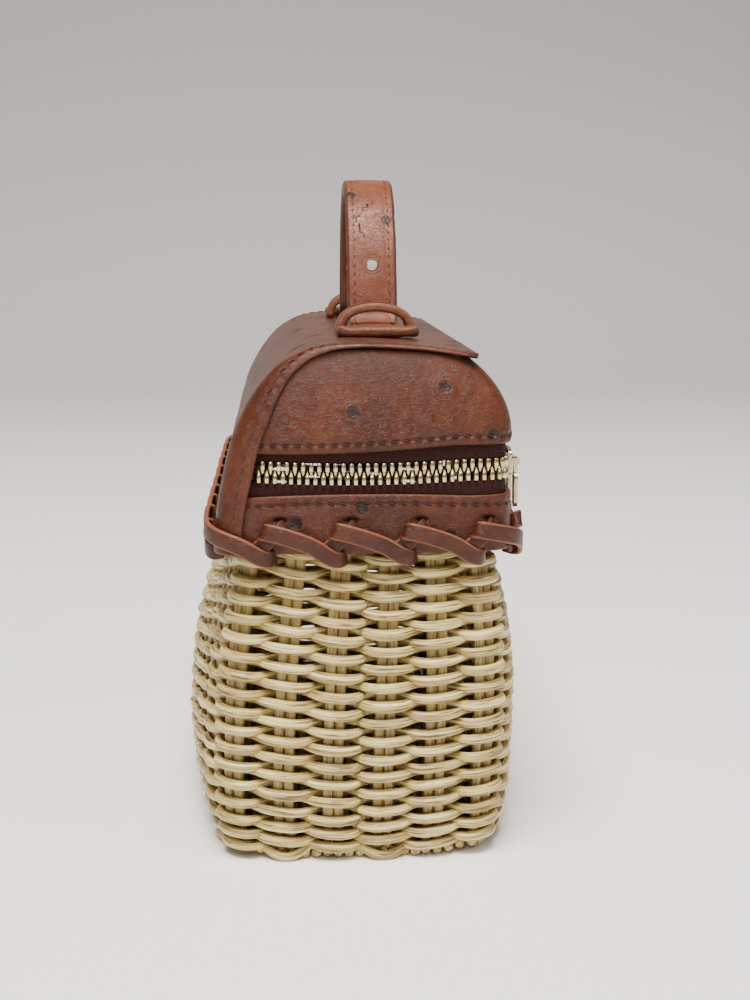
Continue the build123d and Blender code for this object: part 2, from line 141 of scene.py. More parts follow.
def spline(points, count):
    """Smooth curve through points (Catmull-Rom), resampled evenly by length."""
    points = np.asarray(points, dtype=float)
    padded = np.concatenate([[2 * points[0] - points[1]], points, [2 * points[-1] - points[-2]]])
    pieces = []
    t = np.linspace(0, 1, 24, endpoint=False)[:, None]
    for a, b, c, d in zip(padded, padded[1:], padded[2:], padded[3:]):
        pieces.append(
            b + 0.5 * t * (c - a)
            + t**2 * (a - 2.5 * b + 2 * c - 0.5 * d)
            + t**3 * (1.5 * b - 1.5 * c + 0.5 * d - 0.5 * a)
        )
    pieces.append(points[-1:])
    return resample(np.concatenate(pieces), count)


def path_tangents(path, closed=False):
    if closed:
        return unit(np.roll(path, -1, 0) - np.roll(path, 1, 0))
    return unit(np.gradient(path, axis=0))


def left_of(line):
    """Normals to the left of a flat line."""
    tangent = path_tangents(line)
    return np.stack([-tangent[:, 1], tangent[:, 0]], 1)


# ---------------------------------------------------------------- meshes
def make_piece(name, points, faces, layers, body, material, slot, replaces=()):
    """Makes an object, hands it its material, and says what it rides on and stands for."""
    mesh = bpy.data.meshes.new(name)
    mesh.from_pydata((points * MM).tolist(), [], faces)
    mesh.shade_smooth()
    for layer, values in layers.items():
        values = np.asarray(values, dtype=np.float32)
        kind, field = ("FLOAT", "value") if values.ndim == 1 else ("FLOAT_VECTOR", "vector")
        mesh.attributes.new(layer, kind, "POINT").data.foreach_set(field, values.ravel())
    mesh.materials.append(material)
    piece = bpy.data.objects.new(name, mesh)
    bpy.context.scene.collection.objects.link(piece)
    if body:
        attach(piece, body)
    if replaces:
        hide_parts(*replaces)
    return piece


class Mesh:
    """Collects points and faces, with each point's grain and tone, and makes one object of them."""

    def __init__(self):
        self.points, self.faces, self.grain, self.tone = [], [], [], []
        self.count = 0

    def add(self, points, faces, grain, tone):
        self.points.append(points)
        self.faces += [tuple(int(i) + self.count for i in face) for face in faces]
        self.grain.append(grain)
        self.tone.append(np.full(len(points), tone))
        self.count += len(points)

    def sweep(self, path, normals, section, scale=None, closed=False, offset=0.0, tone=0.0):
        """Adds a section (along normal, across) carried along a path, with grain along it."""
        tangents = path_tangents(path, closed)
        normals = unit(normals - (normals * tangents).sum(1)[:, None] * tangents)
        across = np.cross(tangents, normals)
        count, sides = len(path), len(section)
        scale = np.ones((count, 2)) if scale is None else scale
        out = section[None, :, 0] * scale[:, :1]
        wide = section[None, :, 1] * scale[:, 1:]
        points = path[:, None] + out[..., None] * normals[:, None] + wide[..., None] * across[:, None]
        along = run_length(path) + offset
        grain = np.stack([np.repeat(along[:, None], sides, 1), out, wide], -1)
        faces = []
        for i in range(count if closed else count - 1):
            near, far = i * sides, ((i + 1) % count) * sides
            for j in range(sides):
                k = (j + 1) % sides
                faces.append((near + j, near + k, far + k, far + j))
        if not closed:
            faces.append(tuple(range(sides - 1, -1, -1)))
            faces.append(tuple(range((count - 1) * sides, count * sides)))
        self.add(points.reshape(-1, 3), faces, grain.reshape(-1, 3), tone)

    def reed(self, path, normals, section, tones):
        """Adds a reed that starts anywhere in the grain, with a tone between the two given."""
        self.sweep(path, normals, section, offset=rng.uniform(0, GRAIN_SPREAD), tone=rng.uniform(*tones))

    def build(self, name, body, material, slot, replaces=()):
        layers = {"grain": np.concatenate(self.grain), "tone": np.concatenate(self.tone)}
        points = np.concatenate(self.points)
        return make_piece(name, points, self.faces, layers, body, material, slot, replaces)


def round_section(radius, sides=8):
    turn = np.arange(sides) * 2 * math.pi / sides
    return np.stack([np.cos(turn), np.sin(turn)], 1) * radius


def flat_round(radius_out, radius_wide, sides=10, power=0.65):
    """A section between an ellipse and a rectangle: out along the normal, wide across it."""
    turn = (np.arange(sides) + 0.5) * 2 * math.pi / sides
    c, t = np.cos(turn), np.sin(turn)
    return np.stack([
        np.sign(c) * abs(c) ** power * radius_out, np.sign(t) * abs(t) ** power * radius_wide,
    ], 1)


def strap_section(thickness, width, corner):
    """A flat strip's section with rounded edges: thickness along the normal, width across it."""
    points = []
    for sign_out, sign_wide, start in ((1, 1, 0.0), (-1, 1, 0.5), (-1, -1, 1.0), (1, -1, 1.5)):
        for step in range(4):
            turn = (start + 0.5 * step / 3) * math.pi
            points.append((
                sign_out * (thickness / 2 - corner) + corner * math.cos(turn),
                sign_wide * (width / 2 - corner) + corner * math.sin(turn),
            ))
    return np.array(points)


# ---------------------------------------------------------------- outlines
def back_y(z):
    """Back of the leather at height z."""
    rise = np.clip((z - BAND_BOTTOM) / (LID_TOP - BAND_BOTTOM + BACK_OVERRUN), 0, 0.999)
    return BAG_BACK * (1.0 - rise**1.9) ** 0.38


def lean(z):
    """0 up to where the front and ends begin to lean in, 1 at the lid's top."""
    return np.clip((z - LEAN_FROM) / (LID_TOP - LEAN_FROM), 0, 1)


def front_y(z):
    return FRONT_LEAN * lean(z) ** 2.4 - BAG_FRONT


def end_x(z):
    return BAG_HALF_LENGTH - END_LEAN * lean(z) ** 1.6


def end_bulge(y):
    """How far an end stands out at y, by its bulge."""
    return END_BULGE * np.clip(1 - ((y - MIDDLE_Y) / HALF_DEPTH) ** 2, 0, 1)


def rounded(outline, radius):
    """A closed outline with its corners rounded, and evenly spaced points from its start."""
    dense = resample(np.concatenate([outline, outline[:1]]), 1201)[:-1]
    width = max(3, int(2.1 * radius / step_lengths(dense).sum() * 1200)) | 1
    half = width // 2
    padded = np.concatenate([dense[-half:], dense, dense[:half]])
    smooth = averaged(padded, np.ones(width) / width)
    return resample(np.concatenate([smooth, smooth[:1]]), PLAN_POINTS + 1)[:-1]


def plan(x, front, back, bulge, side_bulge, radius):
    """Outline in plan, from the middle of the left end round by the front to the right and back."""
    t = np.linspace(-1, 1, 61)
    crown = 1 - t**2
    middle, half = (front + back) / 2, (back - front) / 2
    left = np.stack([-x - bulge * crown, middle - half * t], 1)
    front_side = np.stack([x * t, front - side_bulge * crown], 1)
    right = np.stack([x + bulge * crown, middle + half * t], 1)
    back_side = np.stack([-x * t, back + side_bulge * crown], 1)
    parts = [left[30:-1], front_side[:-1], right[:-1], back_side[:-1], left[:30]]
    return rounded(np.concatenate(parts), radius)


def level_of(heights, z):
    """Which of the even heights lies below z, and how far z is on the way to the next."""
    level = np.clip((z - heights[0]) / (heights[1] - heights[0]), 0, len(heights) - 1.001)
    below = level.astype(int)
    return below, (level - below)[..., None]


class Shell:
    """A surface made of outlines at many heights: a place at (share of the way round, z)."""

    def __init__(self, outline, low, high, levels):
        self.heights = np.linspace(low, high, levels)
        self.rings = np.stack([outline(z) for z in self.heights])
        ahead = np.roll(self.rings, -1, 1) - np.roll(self.rings, 1, 1)
        self.normals = unit(np.stack([ahead[..., 1], -ahead[..., 0]], -1))

    def _read(self, table, share, z):
        low, up = level_of(self.heights, z)
        place = (share % 1.0) * PLAN_POINTS
        left = place.astype(int) % PLAN_POINTS
        right = (left + 1) % PLAN_POINTS
        over = (place - np.floor(place))[..., None]
        lower = table[low, left] * (1 - over) + table[low, right] * over
        upper = table[low + 1, left] * (1 - over) + table[low + 1, right] * over
        return lower * (1 - up) + upper * up

    def at(self, share, z, out=0.0):
        """Points at shares of the way round, heights z, moved out along the plan's normal."""
        share, z = np.broadcast_arrays(np.asarray(share, dtype=float), np.asarray(z, dtype=float))
        flat = self._read(self.rings, share, z)
        normal = unit(self._read(self.normals, share, z))
        flat = flat + normal * np.broadcast_to(out, share.shape)[..., None]
        return np.concatenate([flat, z[..., None]], -1)

    def normal(self, share, z):
        share, z = np.broadcast_arrays(share, z)
        flat = unit(self._read(self.normals, share, z))
        return np.concatenate([flat, np.zeros(share.shape + (1,))], -1)

    def length(self, z):
        ring = self.rings[int(np.argmin(abs(self.heights - z)))]
        return float(np.linalg.norm(np.roll(ring, -1, 0) - ring, axis=1).sum())


# ---------------------------------------------------------------- basket
BELLY_HEIGHT = 25.0
#             half length, back, bulge of an end, bulge of a long side, corner radius
RIM = np.array([BAG_HALF_LENGTH - 3.4, BAG_BACK - 3.4, END_BULGE, 0.0, 7.6])
BELLY = np.array([BAG_HALF_LENGTH + 0.5, BAG_BACK + 1.7, 3.4, 10.5, 8.0])
FOOT = np.array([BAG_HALF_LENGTH - 0.8, BAG_BACK - 1.8, 2.0, 8.0, 8.0])
REED = 2.8               # weavers
STAKE_REED = 2.95        # each of the two reeds of a stake
STAKE_THICK = 1.25       # half of a reed's depth
STAKE_BOTTOM = 2.2
STAKE_TOP = 93.0
STAKE_MIDDLE = 45.0
STAKES = 36
STAKE_SHIFT = -0.0012    # share of the way round that moves the stakes off the ends' middle
ROW_PITCH = 2.56
LOW_PITCH = 2.1          # the rows are beaten closer together at the foot
LOW_ROWS = 4
FIRST_ROW = 4.0
LAST_ROW = 91.5
ROW_SAMPLES = 504
ROW_GRAIN = 631.0        # from the grain of one row to that of the next
WEAVE_DEPTH = 2.45       # how far a weaver stands out past, or in behind, the stakes
WEAVE_SQUARE = 1.4       # how squarely it turns from front to back
ROW_SAG = 0.15           # a weaver lies lower in front of a stake than behind one,
ROW_SKEW = 0.5           # and its arcs lean down towards the middle of each side
ROW_TILT = 2.0           # the rows run unevenly round the basket by this at the rim
RIM_FORWARD = 3.0        # the rim stands further forward than the belly by this
FOOT_LOOP = 2.6          # reed of the foot's loops
FOOT_THICK = 1.1         # half of its depth
LOST_LOOP = 2            # the stake whose loop has come out
MAT_REED = 2.7           # the base's reeds, and their pitch
MAT_PITCH = 3.15
TIE_RADIUS = 0.75        # the pairs that cross them, and their pitch
TIE_PITCH = 12
TIE_REACH = 72


def basket_plan(z):
    """The stakes' middle surface in plan at height z: foot, belly, rim."""
    if z < BELLY_HEIGHT:
        shape = BELLY + (FOOT - BELLY) * ((BELLY_HEIGHT - z) / BELLY_HEIGHT) ** 2.4
        forward = 0.0
    else:
        share = min(1.0, (z - BELLY_HEIGHT) / (BAND_BOTTOM - 2.0 - BELLY_HEIGHT))
        shape = BELLY + (RIM - BELLY) * share**2.5
        forward = RIM_FORWARD * share
    x, y, bulge, side_bulge, radius = shape
    inside = WEAVE_DEPTH + REED / 2
    front, back = inside - y - forward, y - inside - 0.5 * forward
    return plan(x - inside, front, back, bulge, side_bulge, radius - inside / 3)


def ripple(share, strength, waves=9):
    """Slow uneven variation along a closed row."""
    drift = rng.normal(0, 1, (2, waves))
    turns = 2 * math.pi * np.arange(1, waves + 1)[:, None] * share[None]
    return (np.sin(turns * 3 + drift[0][:, None] * 3) * drift[1][:, None]).sum(0) * strength


def by_arc(share, spread):
    """One random value for each stake, blended from one stake to the next."""
    values = rng.normal(0, spread, STAKES)
    at = STAKES * share - 0.5
    low = np.floor(at).astype(int)
    over = at - low
    over = over * over * (3 - 2 * over)
    return values[low % STAKES] * (1 - over) + values[(low + 1) % STAKES] * over


def side_lean(share):
    """Runs from the middle of each side to its corners: which way the arcs of the weave lean."""
    turn = (share + 0.09) % 0.5
    u = np.where(turn < 0.18, turn / 0.09 - 1, (turn - 0.34) / 0.16)
    return np.sin(math.pi * u)


def weavers(shell):
    """The basket's rows: each weaver runs in front of one stake and behind the next."""
    share = np.arange(ROW_SAMPLES) / ROW_SAMPLES
    rows = round((LAST_ROW - FIRST_ROW) / ROW_PITCH) + 1
    meshes = [Mesh(), Mesh()]                # the lower and the upper rows
    for row in range(rows):
        phase = math.pi * (STAKES * (share - STAKE_SHIFT) + 0.5 + row)
        wave = np.cos(phase)
        bend = np.tanh(WEAVE_SQUARE * wave) / math.tanh(WEAVE_SQUARE)
        lift = min(row, LOW_ROWS) * (LOW_PITCH - ROW_PITCH)
        z = FIRST_ROW + row * ROW_PITCH + lift + ripple(share, 0.035) + by_arc(share, 0.13)
        z = z - ROW_SAG * wave + ROW_SKEW * side_lean(share) * np.sin(phase)
        z = z - ROW_TILT * np.sin(6 * math.pi * share) * (row / rows) ** 1.3
        out = WEAVE_DEPTH * bend * (1 + by_arc(share, 0.05))
        size = REED / 2 * (1 + by_arc(share, 0.03)) * rng.normal(1.0, 0.02)
        tall = 1.06 + 0.03 * np.clip(wave, 0, 1) - 0.16 * (1 - abs(wave)) ** 2
        meshes[row * 2 // rows].sweep(
            shell.at(share, z, out), shell.normal(share, z), round_section(1.0),
            np.stack([size, size * tall], 1), closed=True, offset=row * ROW_GRAIN, tone=rng.uniform(0, 1),
        )
    return meshes


def stakes(shell):
    """Upright pairs of reeds, from the foot up into the leather."""
    mesh = Mesh()
    z = np.linspace(STAKE_BOTTOM, STAKE_TOP, 46)
    length = shell.length(STAKE_MIDDLE)
    section = flat_round(STAKE_THICK, STAKE_REED / 2)
    for stake in range(STAKES):
        share = (stake + 0.5) / STAKES + STAKE_SHIFT
        slant = rng.normal(0, 0.2, 2)
        for side in (-1, 1):
            out = 0.1 * np.sin(z / 9.0 + rng.uniform(0, 6)) + side * rng.uniform(-0.15, 0.15)
            shift = side * STAKE_REED / 2 + slant[0] + slant[1] * (z - STAKE_MIDDLE) / 60
            mesh.reed(shell.at(share + shift / length, z, out), shell.normal(share, z), section, (1.2, 2.0))
    return mesh


def foot(shell):
    """Loops under every other stake, that close the weave at the foot; one has come out."""
    mesh = Mesh()
    t = np.linspace(-1, 1, 26)
    section = flat_round(FOOT_THICK, FOOT_LOOP / 2)
    for stake in range(0, STAKES, 2):
        if stake == LOST_LOOP:
            continue
        share = (stake + 0.5 + 0.66 * t * rng.normal(1, 0.03)) / STAKES + STAKE_SHIFT
        bow = np.cos(t * math.pi / 2)
        z = FOOT_LOOP / 2 + 3.4 * (1 - bow**1.15) + 0.25 * t * rng.normal()
        mesh.reed(shell.at(share, z, 5.6 * bow - 2.6), shell.normal(share, z), section, (0, 0.7))
    return mesh


def base_mat(shell):
    """Reeds laid side by side along the bag, their cut ends at the foot, crossed by pairs."""
    mesh = Mesh()
    half_width = abs(shell.at(0.25, 2.0)[1])
    count = int(2 * half_width / MAT_PITCH)
    ring = shell.at(np.linspace(0, 1, 800), 3.0)
    left = ring[ring[:, 0] < -40]
    for k in range(count):
        y = (k - (count - 1) / 2) * MAT_PITCH
        reach = abs(left[np.argmin(abs(left[:, 1] - y)), 0]) + 1.2 + rng.uniform(-0.5, 0.5)
        x = np.concatenate([[-reach], np.linspace(3 - reach, reach - 3, 60), [reach]])
        lift = 3.4 * np.clip((abs(y) - 22) / 13, 0, 1) ** 1.6 * np.clip((abs(x) - 60) / 25, 0, 1) ** 2
        wave = 0.35 * np.cos(x / 12.0 * math.pi + k * math.pi)
        z = MAT_REED / 2 + 0.5 + lift + wave * (abs(x) < reach - 6)
        path = np.stack([x, y + 0.15 * np.sin(x / 17 + k), z], 1)
        mesh.reed(path, np.array([[0.0, 0.0, 1.0]]), round_section(MAT_REED / 2), (0.2, 1.2))
    y = np.linspace(-half_width + 3, half_width - 3, 90)
    for x in range(-TIE_REACH, TIE_REACH + 1, TIE_PITCH):
        for side in (-1, 1):
            z = 1.9 + side * 1.15 * np.cos(y / MAT_PITCH * math.pi)
            path = np.stack([np.full(90, x + side * 1.3), y, z], 1)
            mesh.reed(path, np.array([[1.0, 0.0, 0.0]]), round_section(TIE_RADIUS, 6), (0, 1))
    return mesh


# ---------------------------------------------------------------- leather
MARK_REACH = 9.0         # past this far from a quill mark the leather is plain
EDGE_OUT = 0.25          # the raw edge swells out by this,
EDGE_IN = 0.2            # and both faces are drawn in beside it by this
EDGE_ROWS = (0.0, 0.3, 0.8, 1.4, 1.9, 2.2, 2.5, 2.8, 3.1, 3.5, 4.0)
SIDE_LENGTH = 330.0      # round the front and ends, about


def marks_on(points, normals, centres):
    """For each point, its offset in the surface from the nearest quill mark, and that mark's seed."""
    flat = points.reshape(-1, 3)
    if not len(centres):
        return np.tile([MARK_REACH, 0.0, 0.0], (len(flat), 1))
    centres = np.asarray(centres, dtype=float)
    gaps = np.linalg.norm(flat[:, None] - centres[None], axis=2)
    nearest = gaps.argmin(1)
    offset = flat - centres[nearest]
    normal = normals.reshape(-1, 3)
    offset -= (offset * normal).sum(1)[:, None] * normal
    side = unit(np.cross(normal, [0.31, 0.17, 0.94]))
    other = np.cross(normal, side)
    a, b = (offset * side).sum(1), (offset * other).sum(1)
    far = gaps.min(1) > MARK_REACH
    a[far], b[far] = MARK_REACH, 0.0
    return np.stack([a, b, nearest * 0.37], 1)


def quill_relief(marks):
    """Height of the leather round a quill mark: a raised ring with a sunken middle."""
    distance = np.hypot(marks[:, 0], marks[:, 1])
    return 0.16 * np.exp(-(((distance - 2.3) / 1.2) ** 2)) - 0.22 * np.exp(-((distance / 1.1) ** 2))


def grid_normals(points):
    return unit(np.cross(np.gradient(points, axis=1), np.gradient(points, axis=0)))


def hole_depth(points, holes):
    """1 in the middle of each lace hole, a slot lying along the edge, and 0 away from them: where the
    leather dips in and painted shade is laid.
    """
    flat = points.reshape(-1, 3)
    if not len(holes):
        return np.zeros(len(flat))
    offset = flat[:, None] - holes[None]
    level = np.hypot(offset[..., 0], offset[..., 1])
    return np.exp(-((level / 1.7) ** 2) - (offset[..., 2] / 0.85) ** 2).max(1)


def leather_sheet(points, centres=(), holes=(), seam=0.0, thickness=LEATHER):
    """A closed leather sheet under a grid of points, with rounded raw edges all round."""
    rows, columns = points.shape[:2]
    normals = grid_normals(points)
    marks = marks_on(points, normals, centres)
    hole = hole_depth(points, holes)
    relief = (quill_relief(marks) - hole).reshape(rows, columns) + seam
    count = rows * columns
    normal = normals.reshape(-1, 3)
    outer = (points + normals * relief[..., None]).reshape(-1, 3)
    inner = (points - normals * thickness).reshape(-1, 3)
    index = np.arange(count).reshape(rows, columns)
    ring = np.concatenate([index[0, :-1], index[:-1, -1], index[-1, :0:-1], index[:0:-1, 0]])
    around = unit(np.roll(outer[ring], -1, 0) - np.roll(outer[ring], 1, 0))
    outward = unit(np.cross(normal[ring], around))
    middle = points.reshape(-1, 3)[ring] - normal[ring] * thickness / 2 + outward * EDGE_OUT
    outer[ring] -= normal[ring] * EDGE_IN
    inner[ring] += normal[ring] * EDGE_IN
    every = np.concatenate([outer, inner, middle])
    a, b = index[:-1, :-1].ravel(), index[1:, :-1].ravel()
    c, d = index[1:, 1:].ravel(), index[:-1, 1:].ravel()
    near = np.arange(len(ring)) + 2 * count
    far = np.roll(near, -1)
    ahead = np.roll(ring, -1)
    faces = np.concatenate([
        np.stack([a, d, c, b], 1),
        np.stack([a, b, c, d], 1) + count,
        np.stack([ahead, ring, near, far], 1),
        np.stack([far, near, ring + count, ahead + count], 1),
    ])
    edge = np.zeros(len(every))
    edge[ring], edge[ring + count], edge[2 * count:] = 0.75, 0.9, 1.0
    rest = count + len(ring)
    return every, faces.tolist(), {
        "grain": every,
        "mark": np.concatenate([marks, np.tile([MARK_REACH, 0.0, 0.0], (rest, 1))]),
        "edge": edge,
        "inside": np.concatenate([np.zeros(count), np.ones(count), np.full(len(ring), 0.5)]),
        "hole": np.concatenate([hole, np.zeros(rest)]),
    }


def edge_steps(count, length, fine=(0.0, 0.3, 0.8, 1.5)):
    """Shares from 0 to 1 with extra lines close to both ends, for a crisp edge."""
    fine = np.array(fine) / length
    return np.concatenate([fine, np.linspace(fine[-1], 1 - fine[-1], count)[1:-1], 1 - fine[::-1]])


# section of the back and top panel in YZ, from its lower back edge over to its front edge
PROFILE = (
    (40.3, 88.6), (40.15, 92.0), (39.2, 101.0), (37.1, 111.5), (34.6, 120.6), (31.4, 128.0),
    (27.6, 134.0), (23.2, 139.0), (18.6, 142.2), (13.2, 144.5), (6.5, 145.6), (-2.0, 145.8),
    (-10.0, 145.5), (-20.0, 144.7), (-33.2, 142.6),
)
profile_line = spline(PROFILE, 400)
profile_along = run_length(profile_line)
PROFILE_LENGTH = profile_along[-1]
# the panel's bend round to the ends: its radius, at lengths along the section
BEND_AT = (0, 24, 42, 52, 58, 64, 72, 80, 300)
BEND_RADIUS = (7.6, 8.0, 7.4, 5.6, 4.2, 2.8, 1.5, 0.9, 0.7)
BEND_TURNS = np.array([1.0, 0.97, 0.92, 0.85, 0.76, 0.66, 0.55, 0.44, 0.33, 0.22, 0.11])
TOP_SAG = 0.5            # the top sinks by this between the handle's feet


def panel_grid():
    """Points of the panel's outside: rows from its lower back edge over to the front edge of the top."""
    share = edge_steps(118, PROFILE_LENGTH)
    at = share * PROFILE_LENGTH
    place = read_line(at, profile_along, profile_line)
    ahead = read_line(at + 0.5, profile_along, profile_line)
    tangent = unit(ahead - read_line(at - 0.5, profile_along, profile_line))
    normal = np.stack([tangent[..., 1], -tangent[..., 0]], -1)
    radius = np.interp(at, BEND_AT, BEND_RADIUS)
    edge = place - normal * radius[:, None]
    from_front = np.clip(PROFILE_LENGTH - at, 0, FRONT_CORNER)
    corner_in = FRONT_CORNER - np.sqrt(FRONT_CORNER**2 - (FRONT_CORNER - from_front) ** 2)
    reach = end_x(edge[:, 1]) + end_bulge(edge[:, 0]) - corner_in
    turn = BEND_TURNS * math.pi / 2
    straight = np.linspace(1, -1, 200)
    rows = []
    for i in range(len(share)):
        centre_x = reach[i] - radius[i]
        arc_x = centre_x + radius[i] * np.sin(turn)
        arc_in = radius[i] * (1 - np.cos(turn))
        x = np.concatenate([-arc_x, -centre_x * straight, arc_x[::-1]])
        inward = np.concatenate([arc_in, np.zeros(len(straight)), arc_in[::-1]])
        y, z = place[i, 0] - normal[i, 0] * inward, place[i, 1] - normal[i, 1] * inward
        rows.append(np.stack([x, y, z], 1))
    grid = np.array(rows)
    sag = TOP_SAG * np.sin(np.clip((share - 0.45) / 0.5, 0, 1) * math.pi)[:, None]
    grid[..., 2] -= sag * np.clip(1 - (abs(grid[..., 0]) / 60) ** 2, 0, 1)
    return grid


LEATHER_ROUNDING = 3.2   # corners of the leather, in corner radii
TAPE_ROUNDING = 2.6
TEETH_ROUNDING = 2.2


def side_ring(z, depth, lap, share, rounding):
    """Places round the front at height z, from under the panel on the left end to the right end."""
    x = end_x(z) - depth
    front = front_y(z) + depth
    y = np.linspace(back_y(z) - PANEL_WRAP + lap, front, 60)
    left = np.stack([-x - end_bulge(y), y], 1)
    span = np.linspace(-1, 1, 120)[1:-1]
    line = np.concatenate([left, np.stack([x * span, np.full(118, front)], 1), left[::-1] * [-1, 1]])
    return smooth_line(line, share, CORNER_RADIUS * rounding * (1 - 0.5 * lean(z)))


def panel_underside(y):
    """Height of the top panel's underside at y."""
    return np.interp(y, profile_line[::-1, 0], profile_line[::-1, 1]) - LEATHER - SEAM_GAP


def end_bow(places):
    """1 in the middle of each end, 0 at the corners and along the front: where the zip's edges bow."""
    return np.clip(1 - (places[..., 1] / 30.0) ** 2, 0, 1) * (abs(places[..., 0]) > 75.0)


def side_grid(low, high, counts, depth=UNDER, lap=5.0, puff=0.0, edges=EDGE_ROWS, bow=(0.0, 0.0),
              rounding=LEATHER_ROUNDING):
    """Leather round the front and ends between two heights, kept under the top panel.

    Counts are of columns and rows between the finer ones at the edges. The lower and upper
    edges rise by the two values of bow in the middle of each end.
    """
    share = edge_steps(counts[0], SIDE_LENGTH)
    rise = edge_steps(counts[1], high - low, edges)[:, None]
    levels = np.linspace(low, high, 80)
    table = np.stack([side_ring(z, depth, lap, share, rounding) for z in levels])
    z = low + (high - low) * rise * np.ones(len(share))
    column = np.arange(len(share))[None]
    for _ in range(6):
        below, over = level_of(levels, z)
        flat = table[below, column] * (1 - over) + table[below + 1, column] * over
        top = np.minimum(high, panel_underside(flat[-1, :, 1])) + bow[1] * end_bow(flat[-1])
        bottom = low + bow[0] * end_bow(flat[-1])
        z = bottom + (top - bottom)[None] * rise
    grid = np.concatenate([flat, z[..., None]], -1)
    swell = puff * np.sin(math.pi * rise) ** 0.7 * np.sin(math.pi * share[None]) ** 0.1
    return grid + grid_normals(grid) * swell[..., None]


def line_on_side(grid, heights):
    """A line round a grid, with its normals: at one height for each column."""
    normals = grid_normals(grid)
    points, facing = [], []
    for j, height in enumerate(heights):
        points.append(read_line(height, grid[:, j, 2], grid[:, j]))
        facing.append(read_line(height, grid[:, j, 2], normals[:, j]))
    return np.array(points), unit(np.array(facing))


def line_in_from_edge(grid, inset):
    """A line up a grid, with its normals: in from the first column by the inset."""
    points, facing = [], []
    for row, normal in zip(grid[:, :40], grid_normals(grid)[:, :40]):
        along = run_length(row)
        points.append(read_line(inset, along, row))
        facing.append(read_line(inset, along, normal))
    return np.array(points), unit(np.array(facing))


STITCH_PITCH = 3.3
STITCH_LENGTH = 1.9
STITCH_RADIUS = 0.18
STITCH_TILT = 0.3        # its slant, across the seam
STITCH_PLACES = np.array([-0.5, -0.42, -0.2, 0.2, 0.42, 0.5])
STITCH_LIFTS = np.array([-0.6, -0.15, 0.02, 0.02, -0.15, -0.6])
STITCH_IN = 3.3          # the panel's seam, from its raw edge,
PANEL_SEAM_FROM = 96.5   # and its lowest stitch, above the lacing
EDGE_STITCH = 2.5        # seams beside the zip, from the leather's edge
GUSSET_BOW = -2.2        # in the middle of each end the gusset's lower edge hangs lower,
ZIP_BOW = -0.9           # the teeth and tapes too,
BAND_BOW = 0.8           # and the band's upper edge stands higher


def stitches(mesh, line, facing, pitch=STITCH_PITCH, length=STITCH_LENGTH, radius=STITCH_RADIUS,
             tilt=STITCH_TILT):
    """Thread stitches along a line on a surface; each is a short cord that dips in at both ends."""
    along = run_length(line)
    count = int(along[-1] / pitch)
    for number in range(count):
        at = (number + 0.5) * along[-1] / count + STITCH_PLACES * length
        path = read_line(at, along, line)
        normal = read_line(at, along, facing)
        across = unit(np.cross(path_tangents(path), normal))
        path = path + normal * STITCH_LIFTS[:, None] + across * (STITCH_PLACES * tilt * length)[:, None]
        mesh.sweep(path, normal, round_section(radius, 6))


def pucker(grid, away, axis):
    """Relief beside a seam: a groove under the stitches, and the edge side puffed up between them."""
    steps = np.linalg.norm(np.diff(grid, axis=axis), axis=2)
    first = np.zeros_like(steps.take([0], axis))
    along = np.concatenate([first, np.cumsum(steps, axis)], axis)
    total = along.take(-1, axis).mean()
    turn = np.cos(2 * math.pi * int(total / STITCH_PITCH) * along / total)
    groove = (0.30 - 0.08 * turn) * np.exp(-((away / 0.42) ** 2))
    return 0.22 * turn * np.exp(-(((away - 0.9) / 0.75) ** 2)) - groove


# ---------------------------------------------------------------- lacing
LACE_WIDTH = 4.8
LACE_THICK = 1.5
LACE_PITCH = 19.4
LACE_PHASE = -7.0
LACE_LEVEL = 90.0
HOLE_SHIFT = 2.8         # a lace hole, from its strips' start
HOLE_LEVEL = 97.9


def lace_strip(mesh, shell, start, tone, *keys):
    """A flat strip on a shell: keys are (along, height, out, heading in degrees, width share)."""
    keys = np.array(keys)
    line = spline(keys[:, :3], 44)
    at = run_length(line)
    key_at = [at[np.argmin(np.linalg.norm(line - key[:3], axis=1))] for key in keys]
    heading = np.radians(np.interp(at, key_at, keys[:, 3]))[:, None]
    width = np.interp(at, key_at, keys[:, 4])
    share = (start + line[:, 0]) / shell.length(LACE_LEVEL)
    path = shell.at(share, line[:, 1], line[:, 2])
    normal = shell.normal(share, line[:, 1])
    ahead = np.stack([-normal[:, 1], normal[:, 0], np.zeros(len(normal))], 1)
    across = ahead * -np.sin(heading) + np.array([0, 0, 1.0]) * np.cos(heading)
    mesh.sweep(
        path, np.cross(across, path_tangents(path)), strap_section(LACE_THICK, LACE_WIDTH, 0.5),
        np.stack([np.ones(len(path)), width], 1), offset=rng.uniform(0, GRAIN_SPREAD), tone=tone,
    )


def lace_starts(shell):
    length = shell.length(LACE_LEVEL)
    count = round(length / LACE_PITCH)
    return LACE_PHASE + np.arange(count) * length / count, length / count


